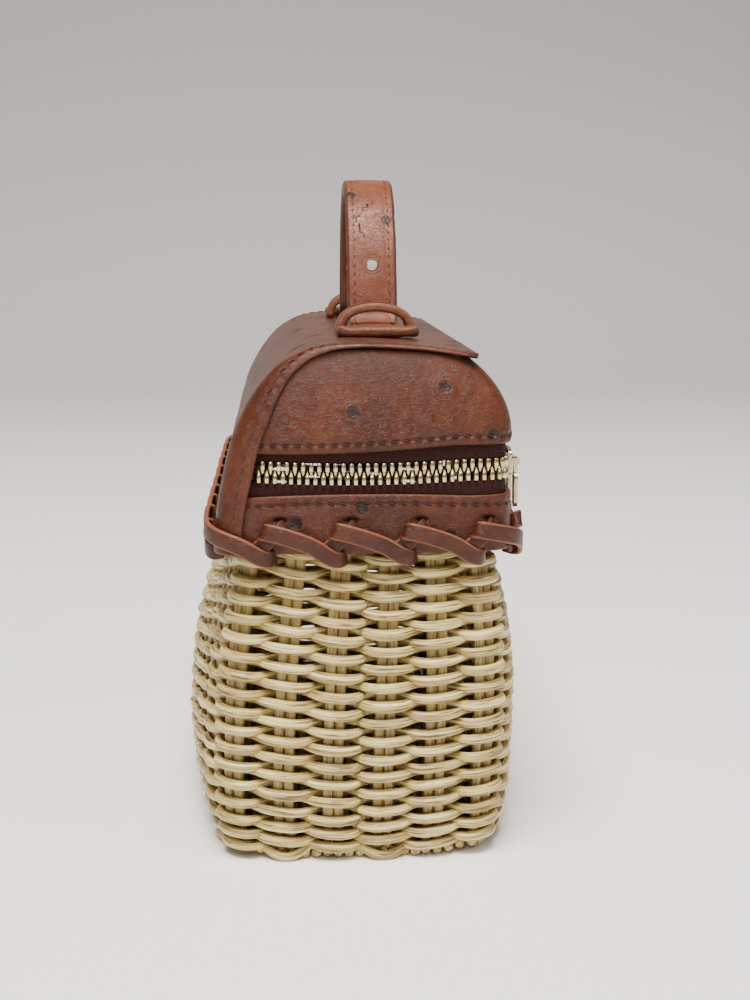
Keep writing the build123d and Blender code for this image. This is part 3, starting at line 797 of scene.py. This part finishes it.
def lacing(shell):
    """Long slanting strips, each folded over at its upper end, with a short strip crossing under it."""
    mesh = Mesh()
    starts, pitch = lace_starts(shell)
    for start in starts:
        high, low, out = np.clip(rng.normal(0, 0.3, 3), -0.3, 0.3)
        tone = rng.uniform(0, 1)
        lace_strip(
            mesh, shell, start, tone,
            (1.6, 93.4 + high, -1.6, -40, 0.8),
            (-0.6, 94.2 + high, -0.2, -38, 0.9),
            (-1.7, 94.9 + high, 1.2, -34, 1.0),
            (-0.2, 95.2 + high, 2.5, -28, 1.0),
            (5.5, 93.8 + high / 2, 2.9 + out * 0.3, -27, 1.0),
            (11.5, 91.6 + low / 2, 2.6 + out * 0.3, -27, 1.0),
            (pitch - 3.0, 88.6 + low, 2.1, -20, 1.0),
            (pitch - 0.2, 87.7 + low, 0.8, -8, 0.95),
            (pitch + 1.2, 87.9 + low, -1.8, 4, 0.8),
        )
        lace_strip(
            mesh, shell, start, tone,
            (-5.2, 88.2, -1.4, 30, 0.85),
            (-4.2, 89.3, 0.2, 34, 0.95),
            (-2.2, 91.2, 0.9, 38, 0.95),
            (0.4, 93.6, 0.8, 40, 0.85),
            (2.8, 96.2, 0.3, 40, 0.65),
            (3.8, 97.4, -1.6, 42, 0.5),
        )
    return mesh


# ---------------------------------------------------------------- zip teeth
TOOTH_PITCH = 2.2
TOOTH_BEVEL = 0.16
ZIP_END = 2.0            # from the tape's end to the first tooth
TOOTH_LEVELS = (         # height from the middle line towards the tape, width, depth
    (3.0, 0.95, 1.9), (2.85, 1.12, 2.2), (0.8, 1.12, 2.2), (0.6, 0.95, 1.9),
    (0.0, 0.75, 1.5), (-0.5, 0.4, 1.2), (-0.72, 0.15, 0.8),
)


def tooth_section(wide, deep):
    """Bevelled rectangle round the tooth: along the zip, through the tape."""
    a, b, corner = wide / 2, deep / 2, TOOTH_BEVEL
    return (
        (a - corner, b), (a, b - corner), (a, corner - b), (a - corner, -b),
        (corner - a, -b), (-a, corner - b), (-a, b - corner), (corner - a, b),
    )


def zip_teeth(up, shift, line):
    """One side's teeth: a block on the tape with a nose that reaches between the other side's."""
    mesh = Mesh()
    along = run_length(line)
    sides, rings = 8, len(TOOTH_LEVELS)
    faces = []
    for near in range(0, (rings - 1) * sides, sides):
        for j in range(sides):
            k = (j + 1) % sides
            faces.append((near + j, near + k, near + sides + k, near + sides + j))
    faces += [tuple(range(sides))[::-1], tuple(range((rings - 1) * sides, rings * sides))]
    faces = [face[::up] for face in faces]
    for number in range(int((along[-1] - 2 * ZIP_END) / TOOTH_PITCH)):
        at = ZIP_END + (number + shift) * TOOTH_PITCH
        place = read_line(at, along, line)
        ahead = unit(read_line(at + 0.3, along, line) - place)
        outward = np.array([ahead[1], -ahead[0]])
        middle = ZIP_HEIGHT + ZIP_BOW * end_bow(place)
        points = np.array([
            [*(place + ahead * a + outward * b), middle + up * height]
            for height, wide, deep in TOOTH_LEVELS for a, b in tooth_section(wide, deep)
        ])
        mesh.add(points, faces, points, rng.uniform(0, 1))
    return mesh


# ---------------------------------------------------------------- handle
STRAP_HALF = 7.7
STRAP_THICK = 2.8
STRAP_END_X = 64.0
STRAP_END_HALF = 12.0
STRAP_END_LENGTH = 7.0
STRAP_END_CORNER = 2.5
STRAP_EDGE = 1.1         # radius of its painted edges
LEG_FOOT_X = 37.5
FOOT_BEND = 5.5
FOOT_ANGLE = math.radians(84.0)
ARCH_FULLNESS = 1.5
LOOP_X = 46.0
LOOP_DEPTH = 9.0
LOOP_THICK = 2.6
# half outline of a loop in YZ from the strap's middle and the lid's top: its foot up to its crown
LOOP_SIDE = ((-10.7, 0.9), (-10.3, 2.8), (-8.9, 5.4), (-5.4, 7.4))
LOOP_CROWN = 8.2


def strap_path():
    """The strap's middle line in XZ, from one end over the arch to the other, and its length."""
    low = STRAP_BOTTOM + STRAP_THICK / 2
    turn = np.linspace(0, FOOT_ANGLE, 14)
    bend = np.stack([FOOT_BEND * np.sin(turn) - LEG_FOOT_X, low + FOOT_BEND * (1 - np.cos(turn))], 1)
    t = np.linspace(0, 1, 60)[1:, None]
    start, end = bend[-1], np.array([0.0, STRAP_TOP - STRAP_THICK / 2])
    reach = np.linalg.norm(end - start)
    out = np.array([math.cos(FOOT_ANGLE), math.sin(FOOT_ANGLE)]) * reach * ARCH_FULLNESS
    over = np.array([1.0, 0.0]) * reach
    arch = (
        (2 * t**3 - 3 * t**2 + 1) * start + (t**3 - 2 * t**2 + t) * out
        + (3 * t**2 - 2 * t**3) * end + (t**3 - t**2) * over
    )
    half = np.concatenate([[[-STRAP_END_X, low]], bend, arch])
    line = np.concatenate([half, half[-2::-1] * [-1, 1]])
    length = step_lengths(line).sum()
    return resample(line, int(length / 0.7)), length


def strap_width(from_end):
    """Half width at a distance from the strap's end: the wide end, its round corners, the strap."""
    short = np.clip(STRAP_END_CORNER - from_end, 0, STRAP_END_CORNER)
    rounding = STRAP_END_CORNER - np.sqrt(np.clip(STRAP_END_CORNER**2 - short**2, 0, None))
    step = np.clip((from_end - STRAP_END_LENGTH + 0.8) / 1.6, 0, 1)
    step = step * step * (3 - 2 * step)
    return (STRAP_END_HALF - rounding) * (1 - step) + STRAP_HALF * step


def strap():
    """Rings of the handle strap with painted edges, which of their points are edge, and its line."""
    line, length = strap_path()
    at = np.linspace(0, length, len(line))
    ends = np.array([0.0, 0.25, 0.6, 1.2])
    steps = 6.0 + np.arange(5) * 0.5
    at_fine = np.unique(np.concatenate([at, ends, length - ends, steps, length - steps]))
    place = read_line(at_fine, at, line)
    normal = left_of(place)
    from_end = np.minimum(at_fine, length - at_fine)
    end_round = np.clip(from_end / 1.2, 0, 1)
    thick = STRAP_THICK / 2 * np.sqrt(np.clip(1 - (1 - end_round) ** 2 * 0.75, 0, 1))
    v = np.array([-1, -0.9, -0.75, -0.62, -0.45, -0.25, 0, 0.25, 0.45, 0.62, 0.75, 0.9, 1])
    corner = np.array([0.8, 0.55, 0.25, 0.0, -0.25, -0.55, -0.8]) * math.pi / 2
    ring_y = np.concatenate([v, np.ones(len(corner)), v[::-1], -np.ones(len(corner))])
    round_y = np.concatenate([0 * v, np.cos(corner), 0 * v, -np.cos(corner)])
    crown = 0.12 * (1 - v**2) - 0.14 * np.exp(-(((abs(v) - 0.72) / 0.08) ** 2))
    ring_n = np.concatenate([1 + crown, np.sin(corner), -1 - crown[::-1], -np.sin(corner)])
    y = (strap_width(from_end) - STRAP_EDGE)[:, None] * ring_y[None] + STRAP_EDGE * round_y[None]
    n = thick[:, None] * ring_n[None]
    grid = np.stack([place[:, :1] + normal[:, :1] * n, HANDLE_Y + y, place[:, 1:] + normal[:, 1:] * n], -1)
    return grid, abs(round_y) > 0, (place, normal, at_fine, length)


def tube_piece(name, body, grid, ring_edge, material, replaces, centres=()):
    """A closed tube of rings as one leather object."""
    rings, sides = grid.shape[:2]
    around = np.roll(grid, -1, 1) - np.roll(grid, 1, 1)
    normals = unit(np.cross(around, np.gradient(grid, axis=0)))
    marks = marks_on(grid, normals, centres)
    points = grid.reshape(-1, 3) + normals.reshape(-1, 3) * quill_relief(marks)[:, None]
    index = np.arange(rings * sides).reshape(rings, sides)
    onward = np.roll(index, -1, 1)
    faces = np.stack([index[:-1], onward[:-1], onward[1:], index[1:]], -1).reshape(-1, 4).tolist()
    faces += [index[0, ::-1].tolist(), index[-1].tolist()]
    layers = {
        "grain": points, "mark": marks, "edge": np.tile(ring_edge, rings),
        "inside": np.zeros(len(points)), "hole": np.zeros(len(points)),
    }
    return make_piece(name, points, faces, layers, body, material, "handle_leather", replaces)


def handle_loop(name, side, material, node):
    """Leather bridge over the strap: a strip bent over it and down to the lid on both sides."""
    line = spline((*LOOP_SIDE, (0.0, LOOP_CROWN), *((-y, z) for y, z in LOOP_SIDE[::-1])), 60)
    normal = left_of(line)
    section = strap_section(LOOP_THICK, LOOP_DEPTH, 0.8)
    out = section[None, :, 0]
    grid = np.stack([
        np.full((len(line), len(section)), side * LOOP_X) + section[None, :, 1],
        HANDLE_Y + line[:, :1] + normal[:, :1] * out,
        LID_TOP + line[:, 1:] + normal[:, 1:] * out,
    ], -1)
    tube_piece(name, "lid", grid, abs(section[:, 1]) > LOOP_DEPTH / 2 - 0.45, material, [node])


# ---------------------------------------------------------------- materials
class Shade:
    """A material and short ways to add nodes to it; its colour is painted over step by step."""

    def __init__(self, name, colour):
        self.material = bpy.data.materials.new(name)
        self.material.use_nodes = True
        self.tree = self.material.node_tree
        self.surface = self.tree.nodes["Principled BSDF"]
        self.colour = colour

    def put(self, socket, value):
        if isinstance(value, bpy.types.NodeSocket):
            self.tree.links.new(value, socket)
        elif socket.type == "RGBA":
            socket.default_value = (*value, 1.0)
        else:
            socket.default_value = value

    def node(self, kind, output, inputs, **settings):
        made = self.tree.nodes.new("ShaderNode" + kind)
        for name, value in settings.items():
            setattr(made, name, value)
        for key, value in inputs.items():
            self.put(made.inputs[key], value)
        return made.outputs[output]

    def attribute(self, name, output="Vector"):
        return self.node("Attribute", output, {}, attribute_name=name)

    def place(self):
        """The place on the object, in millimetres."""
        return self.scaled(self.node("TexCoord", "Object", {}), (1000.0, 1000.0, 1000.0))

    def parts(self, vector):
        return self.node("SeparateXYZ", 0, {0: vector}).node.outputs

    def math(self, operation, a, b=0.0):
        return self.node("Math", 0, {0: a, 1: b}, operation=operation)

    def times(self, a, b):
        return self.math("MULTIPLY", a, b)

    def plus(self, a, b):
        return self.math("ADD", a, b)

    def scaled(self, vector, factors):
        return self.node("VectorMath", 0, {0: vector, 1: factors}, operation="MULTIPLY")

    def noise(self, vector, scale, detail=2.0, roughness=0.5):
        values = {"Vector": vector, "Scale": scale, "Detail": detail, "Roughness": roughness}
        return self.node("TexNoise", 0, values)

    def band(self, value, low, high, kind="SMOOTHSTEP"):
        """0 below low, 1 above high (the other way round where low is the greater)."""
        inputs = {"Value": value, "From Min": low, "From Max": high}
        return self.node("MapRange", 0, inputs, interpolation_type=kind)

    def between(self, value, low, high):
        """Runs from low to high as a value runs from 0 to 1."""
        return self.node("MapRange", 0, {"Value": value, "To Min": low, "To Max": high})

    def paint(self, share, colour, strength=None):
        """Lays a colour over what there is, where share is 1."""
        if strength is not None:
            share = self.times(share, strength)
        self.colour = self.node("Mix", 2, {0: share, 6: self.colour, 7: colour}, data_type="RGBA")

    def bump(self, height, distance, strength=1.0):
        """Relief from a height of 0 to 1, `distance` millimetres deep."""
        values = {"Height": height, "Distance": distance * MM, "Strength": strength}
        self.put(self.surface.inputs["Normal"], self.node("Bump", 0, values))

    def finish(self, roughness, **more):
        for name, value in {"Base_Color": self.colour, "Roughness": roughness, **more}.items():
            self.put(self.surface.inputs[name.replace("_", " ")], value)
        return self.material


def straw_material():
    """Peeled cane: pale, with brown grain lines along each reed and a soft shine."""
    shade = Shade("straw", (0.62, 0.475, 0.17))
    grain = shade.attribute("grain")
    coarse = shade.noise(shade.scaled(grain, (0.03, 1.0, 1.0)), 1.15, 2.0, 0.55)
    fine = shade.noise(shade.scaled(grain, (0.05, 1.0, 1.0)), 2.7, 2.0, 0.6)
    patch = shade.noise(shade.scaled(grain, (0.06, 0.3, 0.3)), 1.0)
    shade.paint(shade.band(patch, 0.35, 0.7), (0.47, 0.34, 0.11))
    shade.paint(shade.band(coarse, 0.53, 0.64), (0.90, 0.77, 0.40), 0.7)
    shade.paint(shade.band(coarse, 0.47, 0.36), (0.25, 0.155, 0.045), 0.7)
    lines = shade.times(shade.band(fine, 0.48, 0.38), shade.band(coarse, 0.7, 0.5))
    shade.paint(lines, (0.11, 0.058, 0.017), 0.95)
    shade.paint(shade.band(shade.attribute("tone", "Fac"), 0.6, 2.4), (0.38, 0.26, 0.078))
    shade.bump(shade.plus(shade.times(coarse, 0.6), shade.times(fine, 0.4)), 0.6)
    return shade.finish(shade.between(coarse, 0.46, 0.3), Specular_IOR_Level=0.5)


FLESH_SIDE = (0.12, 0.055, 0.027)
QUILL_DARK = (0.010, 0.004, 0.004)
# painted shade in the lace holes, which are only dimples in the leather
HOLE_PAINTED_SHADE = (0.012, 0.006, 0.004)
BARE_MARK = (0.40, 0.31, 0.26)


class Leather(Shade):
    """Mottled, finely creased leather."""

    def __init__(self, name, light, dark, edge_colour_and_highlight):
        super().__init__(name, light)
        self.dark, self.edge_colour_and_highlight = dark, edge_colour_and_highlight
        self.grain = self.attribute("grain")
        mottle = self.noise(self.grain, 0.07, 3.0, 0.55)
        self.cloud = self.noise(self.grain, 0.32, 3.0, 0.6)
        warp = self.node("TexNoise", "Color", {"Vector": self.grain, "Scale": 0.35, "Detail": 2.0})
        warp = {0: self.grain, 1: self.scaled(warp, (2.2, 2.2, 2.2))}
        warped = self.node("VectorMath", 0, warp, operation="ADD")
        crease = self.noise(self.scaled(warped, (0.55, 0.55, 1.5)), 0.9, 4.0, 0.62)
        crease = self.band(self.math("ABSOLUTE", self.math("SUBTRACT", crease, 0.5)), 0.0, 0.07)
        cell = {"Vector": warped, "Scale": 1.25}
        cell = self.node("TexVoronoi", "Distance", cell, feature="DISTANCE_TO_EDGE")
        self.paint(self.band(mottle, 0.3, 0.7), dark)
        self.paint(self.band(self.cloud, 0.6, 0.35), dark, 0.35)
        # Painted shade: the crease lines are darkened as if shaded.
        self.paint(self.math("SUBTRACT", 1.0, crease), self.darker(0.45), 0.28)
        self.height = self.plus(self.times(crease, 0.55), self.times(self.band(cell, 0.0, 0.16), 0.10))
        self.height = self.plus(self.height, self.times(self.noise(self.grain, 3.2, 2.0, 0.6), 0.16))

    def darker(self, share):
        return tuple(share * part for part in self.dark)

    def quill_marks(self, bare_mark):
        """A dark middle and rings round each mark; where bare_mark is set, the first one is pale."""
        mark = self.attribute("mark")
        wobble = self.times(self.math("SUBTRACT", self.noise(self.grain, 0.7), 0.5), 1.3)
        away = self.node("VectorMath", "Value", {0: self.scaled(mark, (1.0, 1.0, 0.0))}, operation="LENGTH")
        away = self.plus(away, wobble)
        rim = self.times(self.band(away, 2.5, 2.9), self.band(away, 3.5, 3.0))
        self.paint(rim, self.darker(0.4), 0.3)
        self.paint(self.band(away, 2.1, 1.5), QUILL_DARK, 0.85)
        if bare_mark:
            first = self.band(self.parts(mark)[2], 0.3, 0.1)
            self.paint(self.times(self.band(away, 1.7, 1.5), first), BARE_MARK)
        waves = self.times(self.math("SINE", self.times(away, 6.5)), self.band(away, 5.5, 2.0))
        self.height = self.plus(self.height, self.times(waves, 0.3))

    def sheet_edges(self):
        """The raw edges in their own colour, on the pale ones partly a painted highlight; the flesh side;
        and painted shade in the lace holes.
        """
        self.paint(self.band(self.attribute("edge", "Fac"), 0.3, 1.0), self.edge_colour_and_highlight)
        self.paint(self.band(self.attribute("inside", "Fac"), 0.55, 0.95), FLESH_SIDE)
        # painted shade in the lace holes
        self.paint(self.band(self.attribute("hole", "Fac"), 0.15, 0.6), HOLE_PAINTED_SHADE)

    def strip_edges(self):
        """The cut edges of a lace, past a distance across it: paler, partly their own colour and partly a
        painted highlight.
        """
        self.paint(self.band(self.math("ABSOLUTE", self.parts(self.grain)[2]), 1.75, 2.15), self.edge_colour_and_highlight)

    def done(self):
        self.bump(self.height, 0.11, 0.75)
        return self.finish(self.between(self.cloud, 0.31, 0.44), Specular_IOR_Level=0.3)


def ostrich_material(name, light, dark, edge_colour_and_highlight, bare_mark=False):
    shade = Leather(name, light, dark, edge_colour_and_highlight)
    shade.quill_marks(bare_mark)
    shade.sheet_edges()
    return shade.done()


def lace_material():
    # The last colour is the cut edges: paler, partly their own colour and partly a painted highlight.
    shade = Leather("lace_leather", (0.080, 0.0195, 0.0065), (0.040, 0.009, 0.0035), (0.17, 0.058, 0.028))
    shade.strip_edges()
    return shade.done()


def thread_material():
    """Dark twisted thread."""
    shade = Shade("thread", (0.060, 0.021, 0.011))
    along = shade.scaled(shade.attribute("grain"), (1.0, 0.5, 0.9))
    twist = shade.node("TexWave", "Fac", {"Vector": along, "Scale": 1.6})
    shade.paint(twist, (0.030, 0.011, 0.006))
    shade.bump(twist, 0.12)
    return shade.finish(0.6)


def tape_material():
    """Dark woven zip tape: a fine herringbone."""
    shade = Shade("zip_tape", (0.008, 0.0022, 0.002))
    place = shade.place()
    x, y, z = shade.parts(place)
    slant = shade.plus(shade.plus(x, y), shade.math("PINGPONG", z, 1.3))
    ribs = shade.math("SINE", shade.times(slant, 2 * math.pi / 0.85))
    ribs = shade.band(ribs, -1.0, 1.0, "LINEAR")
    cross = shade.math("SINE", shade.times(z, 2 * math.pi / 0.42))
    height = shade.plus(shade.times(ribs, 0.7), shade.times(cross, 0.12))
    height = shade.plus(height, shade.times(shade.noise(place, 4.0), 0.3))
    shade.paint(ribs, (0.050, 0.011, 0.008))
    shade.bump(height, 0.2)
    return shade.finish(0.8, Specular_IOR_Level=0.2)


def brass_material():
    """Polished pale brass with fine wear."""
    shade = Shade("brass", (0.66, 0.56, 0.34))
    place = shade.place()
    wear = shade.noise(place, 0.9, 4.0, 0.6)
    scratch = shade.noise(shade.scaled(place, (1.0, 1.0, 6.0)), 2.2, 3.0, 0.7)
    shade.paint(shade.band(wear, 0.35, 0.7), (0.50, 0.39, 0.20))
    shade.bump(scratch, 0.02, 0.4)
    return shade.finish(shade.between(scratch, 0.18, 0.36), Metallic=1.0)


def floor_material():
    """Pale and matt, with painted shade that makes it a little darker where it sweeps up."""
    shade = Shade("floor", (0.88, 0.87, 0.86))
    place = shade.node("TexCoord", "Object", {})
    shade.bump(shade.noise(place, 900.0), 0.15, 0.3)
    # painted shade: darker up the sweep and the wall
    shade.paint(shade.band(shade.parts(place)[2], 0.0, 0.6), (0.62, 0.61, 0.58))
    return shade.finish(0.9)


straw = straw_material()
# The last colour is the raw edges: paler, partly their own colour and partly a painted highlight.
leather = ostrich_material("leather", (0.100, 0.0235, 0.0062), (0.050, 0.0105, 0.0035), (0.17, 0.056, 0.025))
handle_leather = ostrich_material(
    "handle_leather", (0.21, 0.062, 0.026), (0.13, 0.034, 0.013), (0.075, 0.025, 0.015), bare_mark=True
)
lace_leather = lace_material()
thread = thread_material()
brass = brass_material()
tape = tape_material()

# ---------------------------------------------------------------- the basket
weave_shell = Shell(basket_plan, -2.0, 96.0, 99)
lower_weave, upper_weave = weavers(weave_shell)
lower_weave.build("weave_lower", "basket", straw, "straw", ["basket_wall"])
upper_weave.build("weave_upper", "basket", straw, "straw", ["rim_border"])
stakes(weave_shell).build("stakes", "basket", straw, "straw")
foot(weave_shell).build("foot_loops", "basket", straw, "straw", ["foot_border"])
base_mat(weave_shell).build("base_mat", "basket", straw, "straw", ["basket_base"])


# ---------------------------------------------------------------- the leather
def leather_outline(z):
    return plan(BAG_HALF_LENGTH - 0.9, 0.9 - BAG_FRONT, BAG_BACK - 0.2, END_BULGE, 0.0, CORNER_RADIUS)


lace_shell = Shell(leather_outline, 78.0, 104.0, 3)
lace_shares = (lace_starts(lace_shell)[0] + HOLE_SHIFT) / lace_shell.length(LACE_LEVEL)
lace_holes = lace_shell.at(lace_shares, HOLE_LEVEL, -0.6)
lacing(lace_shell).build("lacing", "basket", lace_leather, "lace_leather", ["lace"])


def scatter(grid, count, keep_away, fixed=()):
    """Quill marks: the fixed ones, and others spread unevenly over a grid."""
    chosen = [np.array(place) for place in fixed]
    tries_left = 4000
    flat = grid.reshape(-1, 3)
    while len(chosen) < count + len(fixed) and tries_left:
        tries_left -= 1
        place = flat[rng.integers(len(flat))]
        if all(np.linalg.norm(place - other) > keep_away for other in chosen):
            chosen.append(place)
    return chosen


def fold_crossing(piece):
    """Bakes the placing of a piece that crosses the leather hinge between the basket and the lid into its
    points.
    """
    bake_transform(piece)


panel = panel_grid()[:, ::-1]
panel_marks = scatter(panel[4:-4, 14:-14], 30, 19.0)
panel_side = np.cumsum(np.linalg.norm(np.diff(panel, axis=1, prepend=panel[:, :1]), axis=2), 1)
panel_side = np.minimum(panel_side, panel_side[:, -1:] - panel_side)
panel_seam = pucker(panel, STITCH_IN - panel_side, 0)
fold_crossing(make_piece(
    "back_and_top_panel", *leather_sheet(panel, panel_marks, lace_holes, panel_seam),
    None, leather, "ostrich_leather", ["back_hinge_panel", "lid_top_panel"],
))
panel_thread = Mesh()
for grid, side in ((panel, 1), (panel[:, ::-1], -1)):
    line, facing = line_in_from_edge(grid, STITCH_IN)
    keep = line[:, 2] > PANEL_SEAM_FROM
    stitches(panel_thread, line[keep][:-3], facing[keep][:-3] * side)
fold_crossing(panel_thread.build("panel_stitches", None, thread, "ostrich_leather"))

band = side_grid(BAND_BOTTOM + 2.2, BAND_TOP, (640, 24), puff=0.15, bow=(0.0, BAND_BOW))
band_marks = scatter(band[3:-3, 60:-8], 9, 24.0, [(-95.1, -0.4, 101.5), (-95.0, 17.5, 97.5)])
band_seam = pucker(band, band[..., 2] - band[-1:, :, 2] + EDGE_STITCH, 1)
gusset = side_grid(GUSSET_BOTTOM, LID_TOP, (600, 40), puff=0.9, bow=(GUSSET_BOW, 0.0))
gusset_marks = scatter(
    gusset[4:-6, 70:-8], 14, 22.0,
    [(-95.0, 1.9, 127.7), (-94.0, -23.3, 135.1), (-92.5, -36.5, 121.2)],
)
gusset_seam = pucker(gusset, gusset[:1, :, 2] + EDGE_STITCH - gusset[..., 2], 1)
for name, body, sheet, node in (
    ("band", "basket", leather_sheet(band, band_marks, lace_holes, band_seam), "lower_band"),
    ("gusset", "lid", leather_sheet(gusset, gusset_marks, (), gusset_seam), "lid_gusset"),
):
    make_piece(name, *sheet, body, leather, "ostrich_leather", [node])
for name, body, grid, heights in (
    ("band_stitches", "basket", band, band[-1, :, 2] - EDGE_STITCH),
    ("gusset_stitches", "lid", gusset, gusset[0, :, 2] + EDGE_STITCH),
):
    seam_thread = Mesh()
    stitches(seam_thread, *line_on_side(grid, heights))
    seam_thread.build(name, body, thread, "ostrich_leather")

# ---------------------------------------------------------------- the zip
zip_line = side_ring(ZIP_HEIGHT, TAPE_DEPTH + 0.3, 0.5, np.linspace(0, 1, 700), TEETH_ROUNDING)
zip_teeth(-1, 0.0, zip_line).build("teeth_lower", "basket", brass, "brass", ["lower_zip_teeth"])
zip_teeth(1, 0.5, zip_line).build("teeth_upper", "lid", brass, "brass", ["upper_zip_teeth"])
for node, name, body in (
    ("lower_zip_tape", "tape_lower", "basket"), ("upper_zip_tape", "tape_upper", "lid"),
):
    grid = side_grid(
        *cad_span(node), (300, 8), TAPE_DEPTH, 3.0, edges=(0.0, 0.3), bow=(ZIP_BOW, ZIP_BOW),
        rounding=TAPE_ROUNDING,
    )
    make_piece(name, *leather_sheet(grid, thickness=TAPE_THICK), body, tape, "zip_tape", [node])
for node in ("slider_left", "slider_right", "pull_left", "pull_right"):
    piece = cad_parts[node]
    piece.data.materials.clear()
    piece.data.materials.append(brass)

# ---------------------------------------------------------------- the handle
STRAP_MARKS = ((165.4, 0.0), (178.4, -4.8), (185.8, 5.8))    # on the left leg: height, across
STRAP_SEAM_IN = 2.4      # the strap's seams, from its edge,
STRAP_SEAM_END = 9       # and from its ends
strap_grid, strap_ring_edge, (strap_place, strap_normal, strap_at, strap_length) = strap()


def on_strap(height, across):
    """A place on the outer face of the strap's left leg."""
    left = np.flatnonzero((strap_place[:, 0] < -2.0) & (strap_at > 30.0))
    k = left[np.argmin(abs(strap_place[left, 1] - height))]
    x, z = strap_place[k] + strap_normal[k] * STRAP_THICK / 2
    return x, HANDLE_Y + across, z


tube_piece(
    "strap", "handle", strap_grid, strap_ring_edge, handle_leather, ["handle_strap"],
    [on_strap(*mark) for mark in STRAP_MARKS],
)
strap_thread = Mesh()
strap_seams = (strap_at > STRAP_SEAM_END) & (strap_at < strap_length - STRAP_SEAM_END)
for face in (1, -1):
    for side in (-1, 1):
        place = strap_place + strap_normal * (face * STRAP_THICK / 2 * 0.93)
        y = np.full(len(place), HANDLE_Y + side * (STRAP_HALF - STRAP_SEAM_IN))
        line = np.stack([place[:, 0], y, place[:, 1]], 1)
        facing = np.stack([strap_normal[:, 0], 0 * y, strap_normal[:, 1]], 1) * face
        stitches(
            strap_thread, line[strap_seams], facing[strap_seams],
            pitch=2.7, length=1.7, radius=0.19, tilt=0.25 * side,
        )
strap_thread.build("strap_stitches", "handle", thread, "handle_leather")
handle_loop("loop_left", -1, leather, "handle_loop_left")
handle_loop("loop_right", 1, leather, "handle_loop_right")

# ---------------------------------------------------------------- floor, light and camera
FLOOR_NEAR = -6.0        # the stage is in metres
FLOOR_HALF_WIDTH = 6.0
SWEEP_FROM = 1.2
SWEEP_RADIUS = 0.8
WALL_TOP = 3.0
LAMPS = (                # name, place, size in metres, watts
    ("overhead", (-0.45, 0.10, 1.4), 0.7, 50.0),
    ("front", (-1.2, 0.1, 1.1), 0.6, 7.0),
    ("side", (-0.5, -1.1, 1.0), 0.5, 5.0),
)
LAMP_AIM = Vector((0, 0, 0.1))
CAMERA_PLACE = (-0.495, 0.020, 0.175)
CAMERA_AIM = Vector((0.9829, -0.0589, -0.1747))


def add_to_scene(name, data, place=(0, 0, 0), aim=None):
    """Adds an object, with its -Z turned along a direction if one is given."""
    piece = bpy.data.objects.new(name, data)
    piece.location = place
    if aim:
        piece.rotation_euler = aim.to_track_quat("-Z", "Y").to_euler()
    bpy.context.scene.collection.objects.link(piece)
    return piece


def floor():
    """A pale floor that sweeps up behind."""
    t = np.linspace(0, math.pi / 2, 12)
    far = SWEEP_FROM + SWEEP_RADIUS
    run = np.concatenate([[FLOOR_NEAR], SWEEP_FROM + SWEEP_RADIUS * np.sin(t), [far]])
    rise = np.concatenate([[0.0], SWEEP_RADIUS * (1 - np.cos(t)), [WALL_TOP]])
    points = [(x, y, z) for x, z in zip(run, rise) for y in (-FLOOR_HALF_WIDTH, FLOOR_HALF_WIDTH)]
    faces = [(2 * i, 2 * i + 2, 2 * i + 3, 2 * i + 1) for i in range(len(run) - 1)]
    mesh = bpy.data.meshes.new("floor")
    mesh.from_pydata(points, [], faces)
    mesh.shade_smooth()
    mesh.materials.append(floor_material())
    add_to_scene("floor", mesh)


def light():
    """A soft sky and large soft lamps."""
    world = bpy.data.worlds.new("sky")
    world.use_nodes = True
    sky = world.node_tree.nodes["Background"]
    sky.inputs["Color"].default_value = (0.92, 0.94, 0.96, 1.0)
    sky.inputs["Strength"].default_value = 0.17
    bpy.context.scene.world = world
    for name, place, size, power in LAMPS:
        data = bpy.data.lights.new(name, "AREA")
        data.size = size
        data.energy = power
        data.color = (1.0, 0.97, 0.93)
        add_to_scene(name, data, place, LAMP_AIM - Vector(place))


def camera():
    data = bpy.data.cameras.new("camera")
    data.lens = 54.0
    data.sensor_width = 36.0
    data.clip_start = 0.01
    bpy.context.scene.camera = add_to_scene("camera", data, CAMERA_PLACE, CAMERA_AIM)


floor()
light()
camera()
